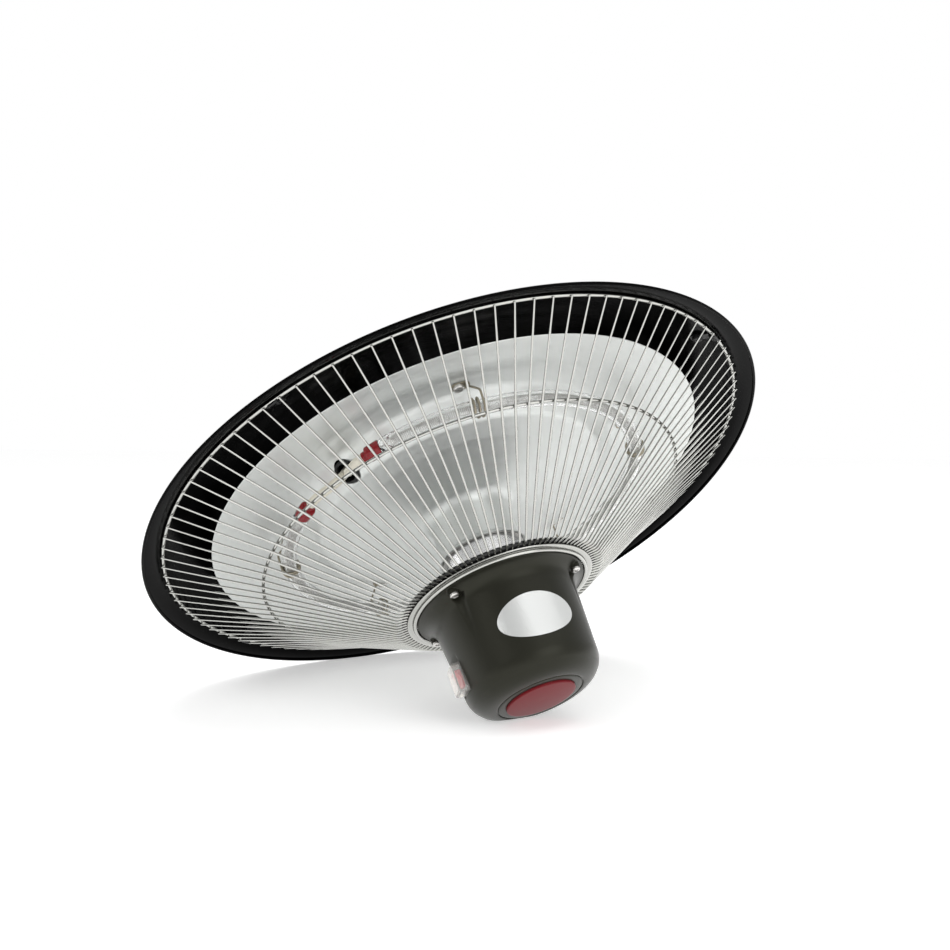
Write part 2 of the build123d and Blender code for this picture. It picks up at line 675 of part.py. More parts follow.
def wall_radius(height):
    """The housing's outer radius on its straight side."""
    start, end = housing_outer()[1], housing_outer()[2]
    share = (height - start[1]) / (end[1] - start[1])
    return start[0] + share * (end[0] - start[0])


SWITCH_PLANE = Plane(origin=(-SWITCH_FACE, 0, SWITCH_CENTRE), z_dir=(-1, 0, 0), x_dir=(0, -1, 0))
SWITCH_BOOT_LENGTH = SWITCH_FLANGE_LENGTH + 2 * (BOOT_CLEARANCE + SWITCH_BOOT_WALL)
SWITCH_BOOT_WIDTH = SWITCH_FLANGE_WIDTH + 2 * (BOOT_CLEARANCE + SWITCH_BOOT_WALL)


def seat_box(width, length, low, high, corner=0.0):
    """A block on the switch's seat: across, along the housing, and out from the seat."""
    face = RectangleRounded(width, length, corner) if corner else Rectangle(width, length)
    return SWITCH_PLANE * (Pos(0, 0, low) * extrude(face, high - low))


def make_housing():
    """A moulded cup with a flange, four screw pockets, a switch seat and board posts."""
    outer = housing_body(0)
    cup = outer - housing_body(HOUSING_WALL)
    top = BEND[1] - WIRE_DIAMETER / 2
    depth = top - POCKET_TOP
    seat = seat_box(SWITCH_BOOT_WIDTH + 3, SWITCH_BOOT_LENGTH + 3, -2.6, 6, 2)
    cup += seat & outer
    for angle in SCREW_ANGLES:
        boss = upright(SCREW_CIRCLE, depth + 34, angle, POCKET_TOP - 34, POCKET_RADIUS + POCKET_WALL)
        cup += boss & outer
    for angle in BOARD_POST_ANGLES:
        cup += upright(BOARD_POST_CIRCLE, BOARD_HEIGHT - HOUSING_END - 1, angle, HOUSING_END + 1,
                       BOARD_POST_RADIUS)
    cup -= seat_box(SWITCH_BOOT_WIDTH + 1, SWITCH_BOOT_LENGTH + 1, 0, 12, 2)
    cup -= seat_box(SWITCH_BODY_WIDTH + 2 * PANEL_CLEARANCE,
                    SWITCH_BODY_LENGTH + 2 * PANEL_CLEARANCE, -8, 2)
    for angle in SCREW_ANGLES:
        cup -= upright(SCREW_CIRCLE, 70, angle, POCKET_TOP - 70, POCKET_RADIUS)
        cup -= upright(SCREW_CIRCLE, 2 * depth, angle, POCKET_TOP - depth, HOUSING_SCREW + 0.1)
    for angle in BOARD_POST_ANGLES:
        cup -= upright(BOARD_POST_CIRCLE, 8, angle, BOARD_HEIGHT - 6, BOARD_SCREW)
    groove = Pos(0, 0, HOUSING_END) * (Cylinder(GROOVE_RADIUS, 2 * GROOVE_DEPTH)
                                       - Cylinder(GROOVE_RADIUS - 1.0, 4 * GROOVE_DEPTH))
    window = Pos(0, 0, HOUSING_END) * Cylinder(LENS_RADIUS - 1.6, 12)
    rebate = Pos(0, 0, HOUSING_END) * Cylinder(LENS_RADIUS + LENS_CLEARANCE, 2 * 1.4)
    return cup - groove - window - rebate


def make_receiver_window():
    """A gently domed red disc in the housing's end."""
    seat = HOUSING_END + 1.4 - 0.02
    edge = HOUSING_END - LENS_PROUD * 0.35
    dome = ThreePointArc((-LENS_RADIUS, edge), (0, HOUSING_END - LENS_PROUD), (LENS_RADIUS, edge))
    half = make_face(dome.edges() + Polyline((LENS_RADIUS, edge), (LENS_RADIUS, seat),
                                             (-LENS_RADIUS, seat), (-LENS_RADIUS, edge)).edges())
    half &= Pos(LENS_RADIUS, HOUSING_END) * Rectangle(2 * LENS_RADIUS, 20)
    disc = turned(half)
    spigot = upright(0, LENS_THICKNESS - 1.4, 0, seat, LENS_RADIUS - 1.6 - LENS_CLEARANCE)
    return disc + spigot


def make_front_plate():
    """An oval sheet bent to the housing's tapered side."""
    low, high = PLATE_CENTRE - PLATE_HEIGHT, PLATE_CENTRE + PLATE_HEIGHT
    gap = 0.02
    skin = turned(outline((wall_radius(low) + gap, low), (wall_radius(low) + gap + PLATE_THICKNESS, low),
                          (wall_radius(high) + gap + PLATE_THICKNESS, high), (wall_radius(high) + gap, high)))
    blank = Plane(origin=(0, 0, PLATE_CENTRE), z_dir=(0, -1, 0), x_dir=(1, 0, 0))
    half_width = wall_radius(PLATE_CENTRE) * sin(PLATE_WIDTH / 2 / wall_radius(PLATE_CENTRE))
    return skin & (blank * extrude(Ellipse(half_width, PLATE_HEIGHT / 2), 80))


def rocker_profile():
    """The rocker's side view about its pivot: along the housing, then outwards."""
    half = ROCKER_HALF
    return outline((-half * 0.55, -2.2), (half * 0.55, -2.2), (half, 0.8), (half, 3.6), (0, 2.0),
                   (-half, 3.6), (-half, 0.8))


def switch_pivot():
    """A plane through the rocker's pivot: x along the housing, y outwards, z across."""
    origin = Vector(-SWITCH_FACE - PIVOT_PROUD, 0, SWITCH_CENTRE)
    return Plane(origin=origin, x_dir=(0, 0, 1), z_dir=(0, -1, 0))


def make_switch_rocker():
    """A shallow V-topped rocker with a pin on each side, tipped to its off stop."""
    body = extrude(rocker_profile(), amount=ROCKER_WIDTH / 2, both=True)
    pins = extrude(Circle(ROCKER_PIN), amount=ROCKER_WIDTH / 2 + PIN_LENGTH, both=True)
    return switch_pivot() * (Rot(0, 0, ROCKER_TILT) * (body + pins))


def make_switch_body():
    """The switch's open case with its flange and pin holes."""
    flange = seat_box(SWITCH_FLANGE_WIDTH, SWITCH_FLANGE_LENGTH, 0.02, SWITCH_FLANGE, 1.2)
    case = seat_box(SWITCH_BODY_WIDTH, SWITCH_BODY_LENGTH, -SWITCH_BODY_DEPTH, SWITCH_FLANGE)
    well = seat_box(SWITCH_BODY_WIDTH - 2 * SWITCH_WALL, SWITCH_BODY_LENGTH - 2 * SWITCH_WALL,
                    -6.5, SWITCH_FLANGE + 1)
    holes = switch_pivot() * extrude(Circle(ROCKER_PIN + PIN_CLEARANCE),
                                     amount=ROCKER_WIDTH / 2 + PIN_LENGTH + 0.1, both=True)
    return flange + case - well - holes


def make_switch_boot():
    """A clear splash cap over the rocker, standing on the housing's seat."""
    outer = seat_box(SWITCH_BOOT_WIDTH, SWITCH_BOOT_LENGTH, 0.02, SWITCH_BOOT_HEIGHT, 3)
    outer = fillet(outer.faces().sort_by(Axis.X)[0].edges(), 1.8)
    hollow = seat_box(SWITCH_BOOT_WIDTH - 2 * SWITCH_BOOT_WALL,
                      SWITCH_BOOT_LENGTH - 2 * SWITCH_BOOT_WALL, -1,
                      SWITCH_BOOT_HEIGHT - SWITCH_BOOT_WALL, 1.8)
    return outer - hollow


def make_switch_tabs():
    """Four contact tabs behind the switch's case."""
    length, thickness, depth = TAB_SIZE
    tabs = []
    beside, beyond = TAB_PLACES
    for across in (-beside, beside):
        for along in (-beyond, beyond):
            tab = extrude(Pos(across, along) * Rectangle(thickness, length), depth)
            tabs.append(SWITCH_PLANE * (Pos(0, 0, -SWITCH_BODY_DEPTH - depth) * tab))
    return group(tabs)


def make_clamp_disc():
    """A black disc on the wires' inner ends, with a rim and a passage for the wiring."""
    disc = upright(0, CLAMP_THICKNESS, 0, CLAMP_BOTTOM, CLAMP_RADIUS)
    rim = disc.edges().group_by(Axis.Z)[-1]
    disc = fillet(rim, 1.2)
    disc -= upright(0, 20, 0, CLAMP_BOTTOM - 5, 14)
    for angle in SCREW_ANGLES:
        disc -= upright(SCREW_CIRCLE, 2 * CLAMP_THICKNESS, angle, CLAMP_BOTTOM - 1, HOUSING_SCREW + 0.1)
    return disc


def make_control_board():
    """A round board on the housing's posts."""
    board = upright(0, BOARD_THICKNESS, 0, BOARD_HEIGHT, BOARD_RADIUS)
    for angle in BOARD_POST_ANGLES:
        board -= upright(BOARD_POST_CIRCLE, 8, angle, BOARD_HEIGHT - 4, BOARD_SCREW + 0.2)
    return board


def standing_box(size, x, y, bottom, corner=0.6):
    """A block standing on a level face, with rounded upright edges."""
    width, depth, height = size
    return Pos(x, y, bottom) * extrude(RectangleRounded(width, depth, corner), height)


def make_wiring_sleeve():
    """The sleeved wiring from the board up the column to the terminals."""
    bottom = BOARD_HEIGHT + BOARD_THICKNESS + SEAT_GAP
    x, y = WIRING_HOLE
    goal = terminal_entry(SLEEVE_ENTRY)
    points = [Vector(0, -17, bottom), Vector(0, -17, bottom + 20), Vector(2, -8, bottom + 60),
              Vector(x, y, 12), Vector(x, y, goal.Z), goal]
    return tube_along(points, lead_radii(points), SLEEVE_RADIUS)


WIRING_HOLE = (SLEEVE_ENTRY, -13.0)


def make_mounting_plate():
    """A steel disc riveted under the shade's crown."""
    plate = upright(0, MOUNT_PLATE_WALL, 0, TUBE_TOP, MOUNT_PLATE_RADIUS)
    plate -= upright(0, 20, 0, TUBE_TOP - 9, EYE_BOLT_RADIUS + 0.1)
    plate -= Pos(WIRING_HOLE[0], WIRING_HOLE[1], TUBE_TOP) * Cylinder(SLEEVE_HOLE, 20)
    plate -= upright(LEAD_PLATE_CIRCLE, 20, LEAD_PLATE_ANGLE, TUBE_TOP - 9, LEAD_PLATE_HOLE)
    for angle in rivet_angles():
        plate -= upright(RIVET_CIRCLE, 20, angle, TUBE_TOP - 9, RIVET_RADIUS + 0.1)
    for angle in CAP_SCREW_ANGLES:
        plate -= upright(TUBE_SCREW_RADIUS, 20, angle, TUBE_TOP - 9, RIVET_RADIUS + 0.1)
        plate -= upright(CAP_SCREW_CIRCLE, 20, angle, TUBE_TOP - 9, CAP_SCREW + 0.1)
    return plate


def make_plate_rivets():
    """Rivets through the shade's crown and the mounting plate."""
    bottom, top = TUBE_TOP, CROWN_HEIGHT + SHADE_WALL / 2
    rivets = []
    for angle in rivet_angles():
        shank = upright(RIVET_CIRCLE, top - bottom, angle, bottom, RIVET_RADIUS - 0.05)
        lower = upright(RIVET_CIRCLE, 1.2, angle, bottom - 1.2, 3.6)
        upper = upright(RIVET_CIRCLE, 1.2, angle, top, 3.6)
        rivets.append(shank + lower + upper)
    return group(rivets)


def make_tube_screws():
    """Screws up through the column's flange into the mounting plate."""
    screw = pan_screw(RIVET_RADIUS, MOUNT_PLATE_WALL + TUBE_WALL + 2.5, 3.8, 2.4)
    return group([Pos(*polar(TUBE_SCREW_RADIUS, angle, TUBE_TOP - TUBE_WALL)) * screw
                  for angle in CAP_SCREW_ANGLES])


def cap_solid(inset):
    """The cap's domed outline, drawn in by an inset."""
    radius, height = CAP_RADIUS - inset, CAP_TOP - inset
    shoulder = CAP_TOP_RADIUS - inset
    side = FilletPolyline((radius, CAP_BASE), (radius - 1.5, height - 6), (shoulder - 4, height),
                          (0, height), radius=[6, 12])
    close = Polyline((0, height), (0, CAP_BASE), (radius, CAP_BASE))
    return turned(make_face(side.edges() + close.edges()))


def make_top_cap():
    """A domed cap with screw bosses, wall vents, an eye-bolt hole and a gland hole."""
    outer = cap_solid(0)
    cap = outer - cap_solid(CAP_WALL)
    for angle in CAP_SCREW_ANGLES:
        cap += upright(CAP_SCREW_CIRCLE, CAP_HEIGHT, angle, CAP_BASE, CAP_BOSS_RADIUS) & outer
        cap -= upright(CAP_SCREW_CIRCLE, 24, angle, CAP_BASE - 12, CAP_SCREW)
    cap -= upright(0, 60, 0, CAP_BASE, EYE_BOLT_RADIUS + 0.2)
    radius, inner, outside = GLAND_BOSS
    cap += gland_plane() * Cylinder(radius, outside - inner, align=(Align.CENTER, Align.CENTER, Align.MAX))
    cap -= gland_plane() * Cylinder(GLAND_THREAD + 0.1, 30)
    width, tall = VENT_SIZE
    slot = Plane.YZ * extrude(SlotOverall(tall, width, rotation=90), amount=90)
    for index in range(VENT_COUNT):
        angle = 360 * (index + 0.5) / VENT_COUNT
        if abs(angle - 90) > 20 and min(abs(angle - screw) for screw in CAP_SCREW_ANGLES) > 5:
            cap -= Rot(0, 0, angle) * (Pos(0, 0, CAP_BASE + 9) * slot)
    return cap


def make_cap_screws():
    """Screws from under the mounting plate into the cap's bosses."""
    screw = pan_screw(CAP_SCREW, 12, 3.0, 2.0)
    return group([Pos(*polar(CAP_SCREW_CIRCLE, angle, TUBE_TOP)) * screw for angle in CAP_SCREW_ANGLES])


def gland_plane():
    """The gland's axis and the face of its boss on the cap's rear wall."""
    return Plane(origin=(0, GLAND_BOSS[2], GLAND_HEIGHT), z_dir=(0, 1, 0))


def make_cable_gland():
    """A hollow screwed gland with a hexagon collar and a domed nose."""
    collar = Pos(0, 0, SEAT_GAP) * extrude(RegularPolygon(9.2, 6), 3.0)
    tail = GLAND_BOSS[2] - GLAND_BOSS[1] + 5
    thread = Pos(0, 0, -tail) * Cylinder(GLAND_THREAD, tail + 1, align=(Align.CENTER, Align.CENTER, Align.MIN))
    nose = Pos(0, 0, 3) * Cone(7.8, 5.6, GLAND_LENGTH - 3, align=(Align.CENTER, Align.CENTER, Align.MIN))
    nose = fillet(nose.edges().sort_by(SortBy.DISTANCE)[-1], 1.2)
    return gland_plane() * (collar + thread + nose - Cylinder(GLAND_BORE, 60))


def make_gland_nut():
    """The gland's lock nut, inside the cap."""
    nut = extrude(RegularPolygon(GLAND_NUT_RADIUS, 6), -3.0) - Cylinder(GLAND_THREAD + 0.02, 12)
    return gland_plane() * (Pos(0, 0, GLAND_BOSS[1] - GLAND_BOSS[2] - SEAT_GAP) * nut)


def make_eye_bolt():
    """A forged eye on a collared shank through the cap and the mounting plate."""
    eye = Pos(0, 0, EYE_CENTRE) * (Rot(0, 90, 0) * Torus(EYE_RADIUS, EYE_WIRE / 2))
    under = EYE_CENTRE - EYE_RADIUS
    collar_bottom = CAP_TOP + WASHER_WALL
    stem = upright(0, under - collar_bottom - 1.5, 0, collar_bottom, EYE_BOLT_RADIUS)
    collar = upright(0, EYE_COLLAR_HEIGHT - 1, 0, collar_bottom, EYE_COLLAR_RADIUS)
    shank = upright(0, collar_bottom - TUBE_TOP + 9, 0, TUBE_TOP - 9, EYE_BOLT_RADIUS)
    return eye + stem + collar + shank


WASHER_WALL = 1.4


def make_eye_washer():
    """A washer under the eye bolt's collar."""
    return upright(0, WASHER_WALL, 0, CAP_TOP, 10) - upright(0, 9, 0, CAP_TOP - 3, EYE_BOLT_RADIUS + 0.2)


def make_eye_nut():
    """The nut under the mounting plate, inside the column."""
    nut = extrude(RegularPolygon(7.4, 6), -6.5) - Cylinder(EYE_BOLT_RADIUS + 0.02, 30)
    return Pos(0, 0, TUBE_TOP) * nut


def ring_pivot():
    """Height of the hanging ring's axis: its wire rests in the bottom of the eye."""
    return EYE_CENTRE - (EYE_RADIUS - EYE_WIRE / 2) + RING_WIRE / 2 + RING_CLEARANCE


def make_hanging_ring():
    """A steel ring through the eye, lying down against the cap on the front side."""
    hoop = Pos(0, 0, RING_RADIUS) * (Rot(90, 0, 0) * Torus(RING_RADIUS, RING_WIRE / 2))
    return Pos(0, 0, ring_pivot()) * (Rot(RING_REST_TILT, 0, 0) * hoop)


def make_terminal_block():
    """The terminal block on the mounting plate, with a wire way and a screw hole per pole."""
    x, y = TERMINAL_CENTRE
    base = TUBE_TOP + MOUNT_PLATE_WALL
    length, depth, height = TERMINAL_SIZE
    tall = CROWN_HEIGHT + SHADE_WALL / 2 + height - base
    block = standing_box((length, depth, tall), x, y, base, 1.0)
    for shift in TERMINAL_POLES:
        block -= Pos(x + shift, y, base + tall) * Cylinder(1.9, 8)
    return block


def make_terminal_screws():
    """One clamping screw per pole."""
    x, y = TERMINAL_CENTRE
    top = CROWN_HEIGHT + SHADE_WALL / 2 + TERMINAL_SIZE[2]
    screw = Cylinder(1.8, 3.0, align=(Align.CENTER, Align.CENTER, Align.MAX)) \
        - Pos(0, 0, -0.3) * Box(4, 0.6, 0.9)
    return group([Pos(x + shift, y, top - 1.0) * screw for shift in TERMINAL_POLES])


def make_clip_hardware():
    """The lamp clips' screws and their nuts above the reflector."""
    seat = clip_seat() - CLIP_FOOT_WALL
    above = trough_height() + REFLECTOR_WALL / 2 + 0.35
    screw = pan_screw(CLIP_SCREW_RADIUS, 6.5, 3.4, 2.2)
    nut = extrude(RegularPolygon(3.9, 6), 2.6) - Cylinder(CLIP_SCREW_RADIUS + 0.02, 12)
    screws = [Pos(*polar(CLIP_FOOT_RADIUS, angle, seat)) * screw for angle in clip_angles()]
    nuts = [Pos(*polar(CLIP_FOOT_RADIUS, angle, above)) * nut for angle in clip_angles()]
    return group(screws), group(nuts)


def make_guard_screws():
    """Screws that hold the guard clips to the shade."""
    screw = Rot(180, 0, 0) * pan_screw(GUARD_CLIP_SCREW, GUARD_CLIP_WALL + SHADE_WALL + 0.6, 3.2, 1.8)
    head = GUARD_CLIP_WALL + RING_SEAT + SEAT_GAP
    placed = guard_clip_plane() * (Pos(0, 0, head) * screw)
    return group([Rot(0, 0, angle) * placed for angle in guard_clip_angles()])


def make_housing_screws():
    """Screws in the pockets, up through the flange into the clamping disc."""
    length = CLAMP_TOP - POCKET_TOP - 0.3
    screw = pan_screw(HOUSING_SCREW, length, 3.6, 2.6)
    return group([Pos(*polar(SCREW_CIRCLE, angle, POCKET_TOP)) * screw for angle in SCREW_ANGLES])


def make_board_screws():
    """Screws down into the housing's posts."""
    screw = Rot(180, 0, 0) * pan_screw(BOARD_SCREW - 0.05, 5, 2.4, 1.4)
    top = BOARD_HEIGHT + BOARD_THICKNESS
    return group([Pos(*polar(BOARD_POST_CIRCLE, angle, top)) * screw for angle in BOARD_POST_ANGLES])


def main():
    """Build every piece and write it under its own name."""
    os.makedirs("parts", exist_ok=True)
    board_top = BOARD_HEIGHT + BOARD_THICKNESS
    clip_screws, clip_nuts = make_clip_hardware()
    receiver_height = RECEIVER_SIZE[2]
    pieces = {
        "shade": make_shade(),
        "reflector": make_reflector(),
        "lead_bush": make_lead_bush(),
        "support_tube": make_support_tube(),
        "reflector_snap_ring": make_snap_ring(),
        "lamp_tube": make_lamp_tube(),
        "filament": make_filament(),
        "lamp_boots": make_lamp_boots(),
        "lamp_leads": make_lamp_leads(),
        "lamp_clips": group([make_lamp_clip(angle) for angle in clip_angles()]),
        "lamp_clip_screws": clip_screws,
        "lamp_clip_nuts": clip_nuts,
        "guard_wires": make_guard_wires(),
        "guard_outer_ring": ring_band(OUTER_RING_RADIUS, outer_ring_height(), OUTER_RING_WIRE),
        "guard_middle_ring": make_middle_ring(),
        "guard_inner_ring": make_inner_ring(),
        "guard_clips": group([make_guard_clip(angle) for angle in guard_clip_angles()]),
        "guard_clip_screws": make_guard_screws(),
        "clamp_disc": make_clamp_disc(),
        "housing": make_housing(),
        "housing_screws": make_housing_screws(),
        "front_plate": make_front_plate(),
        "receiver_window": make_receiver_window(),
        "switch_body": make_switch_body(),
        "switch_rocker": make_switch_rocker(),
        "switch_boot": make_switch_boot(),
        "switch_tabs": make_switch_tabs(),
        "control_board": make_control_board(),
        "relay": standing_box(RELAY_SIZE, 12, 1, board_top + 0.02),
        "capacitor": upright(17, CAPACITOR_HEIGHT, -50, board_top + 0.02, CAPACITOR_RADIUS),
        "infrared_receiver": standing_box(RECEIVER_SIZE, 0, 0, BOARD_HEIGHT - receiver_height - 0.02),
        "board_screws": make_board_screws(),
        "wiring_sleeve": make_wiring_sleeve(),
        "mounting_plate": make_mounting_plate(),
        "plate_rivets": make_plate_rivets(),
        "tube_screws": make_tube_screws(),
        "top_cap": make_top_cap(),
        "cap_screws": make_cap_screws(),
        "terminal_block": make_terminal_block(),
        "terminal_screws": make_terminal_screws(),
        "cable_gland": make_cable_gland(),
        "gland_nut": make_gland_nut(),
        "eye_bolt": make_eye_bolt(),
        "eye_bolt_washer": make_eye_washer(),
        "eye_bolt_nut": make_eye_nut(),
        "hanging_ring": make_hanging_ring(),
    }
    for name, piece in pieces.items():
        save(name, piece)
    print("pieces", len(pieces))


main()
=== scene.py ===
# %% [markdown]
# # A hanging infrared heater
# The heater lies on a white table on its rim and its control housing, and we look into its shade.
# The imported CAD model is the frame: every piece built here sits where that model says, in metres,
# with the origin in the hanging eye. This first cell only loads it and notes its box.

import bpy
import bmesh
import json
import math
from mathutils import Matrix, Vector


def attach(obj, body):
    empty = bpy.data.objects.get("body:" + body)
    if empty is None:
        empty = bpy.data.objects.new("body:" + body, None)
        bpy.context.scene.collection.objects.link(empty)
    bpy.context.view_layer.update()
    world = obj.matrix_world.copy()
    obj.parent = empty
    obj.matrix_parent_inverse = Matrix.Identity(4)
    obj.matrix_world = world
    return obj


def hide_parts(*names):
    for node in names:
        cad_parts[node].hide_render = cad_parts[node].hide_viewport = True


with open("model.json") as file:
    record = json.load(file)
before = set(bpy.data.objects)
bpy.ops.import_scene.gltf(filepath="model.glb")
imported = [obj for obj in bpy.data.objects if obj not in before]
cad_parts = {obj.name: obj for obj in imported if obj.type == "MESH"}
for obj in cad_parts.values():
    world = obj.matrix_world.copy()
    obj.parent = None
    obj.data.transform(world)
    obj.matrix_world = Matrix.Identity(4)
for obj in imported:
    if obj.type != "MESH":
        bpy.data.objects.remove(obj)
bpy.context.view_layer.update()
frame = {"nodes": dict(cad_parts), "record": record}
print("nodes", len(frame["nodes"]))

# %% [markdown]
# Sizes are written in millimetres from the plane of the shade's rim, as they were measured, and
# `place` turns them into the frame's metres. Most pieces are spun sheet or moulded round one axis,
# so a profile of radius and height is the natural way to write them.

# %% Measures and placing
RIM_LEVEL = 98.0
WIRE_COUNT = 108
WIRE_PHASE = 1.2
LAMP_RADIUS, LAMP_LEVEL = 121.5, -7.0
GAP_ANGLE, GAP_HALF = -144.6, 14.55


def place(x, y, z):
    """Millimetres from the rim plane to metres from the hanging eye."""
    return Vector((x * 0.001, y * 0.001, (z - RIM_LEVEL) * 0.001))


def polar(radius, angle, z):
    """A placed point at a radius in millimetres and an angle in degrees."""
    turn = math.radians(angle)
    return place(radius * math.cos(turn), radius * math.sin(turn), z)


# %% [markdown]
# The camera stands where the photograph's circles say that it stood. Its place and its three
# directions are a plain matrix, so no tracking constraint is needed. The lens is a normal one,
# 45 mm on a 36 mm sensor, at the photograph's square shape. A shift of less than a pixel brings
# the shade's rim onto the photograph's.

# %% Camera
CAMERA_AT = (-261.17, -663.03, -378.79)
SENSOR, LENS = 36.0, 45.47
FRAMING_SHIFT = (-0.0007, 0.0007)
right = Vector((0.924121, -0.185903, -0.333830))
down = Vector((-0.179045, 0.561139, -0.808125))
ahead = Vector((0.337558, 0.806575, 0.485275))
camera_data = bpy.data.cameras.new("camera")
camera_data.sensor_width = SENSOR
camera_data.lens = LENS
camera_data.clip_start, camera_data.clip_end = 0.01, 50
camera_data.shift_x, camera_data.shift_y = FRAMING_SHIFT
camera = bpy.data.objects.new("camera", camera_data)
facing = Matrix((right, -down, -ahead)).transposed().to_4x4()
camera.matrix_world = Matrix.Translation(place(*CAMERA_AT)) @ facing
bpy.context.scene.collection.objects.link(camera)
bpy.context.scene.camera = camera
bpy.context.scene.view_settings.view_transform = "Standard"
print("camera at", tuple(round(v, 3) for v in camera.location))

# %% [markdown]
# ## Mesh helpers
# A spun or moulded round piece is one closed outline turned about the axis. `rounded` gives an
# outline its corner radii, `thickened` turns a middle line into the outline of a sheet, and
# `spun` revolves it. Only edges that are truly sharp are marked, so the metal shades smoothly.


# %% Outlines
def rounded(points, radii, steps=8):
    """A polyline whose inner corners are arcs of the given radii."""
    out = [Vector(points[0])]
    for before, corner, after, radius in zip(points, points[1:], points[2:], radii):
        corner = Vector(corner)
        first, second = Vector(before) - corner, Vector(after) - corner
        first.normalize()
        second.normalize()
        half = first.angle(second) / 2
        centre = corner + (first + second).normalized() * (radius / math.sin(half))
        start = corner + first * (radius / math.tan(half)) - centre
        end = corner + second * (radius / math.tan(half)) - centre
        swing = start.angle(end)
        for step in range(steps + 1):
            part = step / steps
            mix = start * math.sin((1 - part) * swing) + end * math.sin(part * swing)
            out.append(centre + mix / math.sin(swing))
    out.append(Vector(points[-1]))
    return out


def thickened(line, wall, steps=4):
    """The closed outline of a sheet of that wall about a middle line, with round edges."""
    near, far = [], []
    for index, point in enumerate(line):
        back = line[max(index - 1, 0)]
        front = line[min(index + 1, len(line) - 1)]
        way = (front - back).normalized()
        normal = Vector((-way.y, way.x)) * wall / 2
        near.append(point + normal)
        far.append(point - normal)
    ends = []
    for tip, start in ((line[-1], near[-1]), (line[0], far[0])):
        arm = start - tip
        turned = []
        for step in range(1, steps):
            angle = -math.pi * step / steps
            turned.append(tip + Vector((arm.x * math.cos(angle) - arm.y * math.sin(angle),
                                        arm.x * math.sin(angle) + arm.y * math.cos(angle))))
        ends.append(turned)
    return near + ends[0] + far[::-1] + ends[1]


# %% [markdown]
# Rods and rings are skins too: rows of points joined by four-sided faces. `grid_mesh` joins any
# rows, `swept` carries one section along a path, and `cap_ends` closes what has two ends. Every
# closed piece has its normals turned outwards, so that glass and printing both read it rightly.


# %% Meshes
def finish_mesh(name, mesh, material, body="heater", stands_for=(), sharp=40):
    """Link a mesh as a piece on a body, smooth but for its sharp edges."""
    mesh.update()
    mesh.shade_smooth()
    mesh.set_sharp_from_angle(angle=math.radians(sharp))
    mesh.materials.append(material)
    piece = bpy.data.objects.new(name, mesh)
    bpy.context.scene.collection.objects.link(piece)
    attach(piece, body)
    if stands_for:
        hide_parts(*stands_for)
    return piece


def grid_mesh(name, rows, wrap_rows=False):
    """Quads between closed rows of points; the last row can join the first."""
    mesh = bpy.data.meshes.new(name)
    count, wide = len(rows), len(rows[0])
    points = [point for row in rows for point in row]
    faces = []
    for row in range(count if wrap_rows else count - 1):
        for column in range(wide):
            here, there = row * wide, (row + 1) % count * wide
            side = (column + 1) % wide
            faces.append((here + column, here + side, there + side, there + column))
    mesh.from_pydata(points, [], faces)
    return mesh


def outward(mesh):
    """Make the normals point out of a closed mesh."""
    work = bmesh.new()
    work.from_mesh(mesh)
    bmesh.ops.recalc_face_normals(work, faces=work.faces)
    work.to_mesh(mesh)
    work.free()
    return mesh


def spun(name, outline, segments=256):
    """A closed outline of (radius, height) revolved about the axis."""
    rows = [[polar(point[0], 360 * step / segments, point[1]) for point in outline]
            for step in range(segments)]
    return outward(grid_mesh(name, rows, wrap_rows=True))


def cap_ends(mesh, rows):
    """Close the first and the last row of a skin."""
    wide = len(rows[0])
    work = bmesh.new()
    work.from_mesh(mesh)
    work.verts.ensure_lookup_table()
    for start in (0, (len(rows) - 1) * wide):
        work.faces.new([work.verts[start + index] for index in range(wide)])
    bmesh.ops.recalc_face_normals(work, faces=work.faces)
    work.to_mesh(mesh)
    work.free()
    return mesh


def swept(name, path, section):
    """A closed skin over a section of (side, up) offsets, carried along a path of points."""
    rows = []
    normal = None
    for index, point in enumerate(path):
        back, front = path[max(index - 1, 0)], path[min(index + 1, len(path) - 1)]
        way = (front - back).normalized()
        if normal is None:
            normal = way.orthogonal().normalized()
        normal = (normal - way * normal.dot(way)).normalized()
        side = way.cross(normal)
        rows.append([point + normal * (a * 0.001) + side * (b * 0.001) for a, b in section])
    return cap_ends(grid_mesh(name, rows), rows)


def circle(radius, sides=12):
    """A round section."""
    turns = [2 * math.pi * k / sides for k in range(sides)]
    return [(radius * math.cos(turn), radius * math.sin(turn)) for turn in turns]


# %% [markdown]
# ## Finishes
# Four effects are node groups with their own inputs, and most come back in several finishes:
# lathe rings on spun metal, a fine grain on plastic, soft marks that change the gloss, and the
# fine lines of brushed metal. A group only gives values; the shader stays in each material.


# %% Group helper
def new_group(name, inputs, outputs):
    """An empty node group with float inputs and outputs."""
    group = bpy.data.node_groups.new(name, "ShaderNodeTree")
    for label, value in inputs.items():
        socket = group.interface.new_socket(label, in_out="INPUT", socket_type="NodeSocketFloat")
        socket.default_value = value
    for label in outputs:
        group.interface.new_socket(label, in_out="OUTPUT", socket_type="NodeSocketFloat")
    return group, group.nodes.new("NodeGroupInput"), group.nodes.new("NodeGroupOutput")


def maths(group, operation, first, second=None, clamp=False):
    """A Math node fed by sockets or numbers."""
    node = group.nodes.new("ShaderNodeMath")
    node.operation = operation
    node.use_clamp = clamp
    for index, value in enumerate((first, second)):
        if value is None:
            continue
        if isinstance(value, (int, float)):
            node.inputs[index].default_value = value
        else:
            group.links.new(value, node.inputs[index])
    return node.outputs[0]


# %% [markdown]
# A spinning tool leaves rings about the axis. They depend on the distance from the axis and a
# little on the height, so a one-dimensional noise of the two gives them at any size, without a
# texture. A coarser reading of the same noise gives the tone that varies the gloss.


# %% Lathe rings
RING_SLOPE = 0.8
TONE_SHARE = 0.09


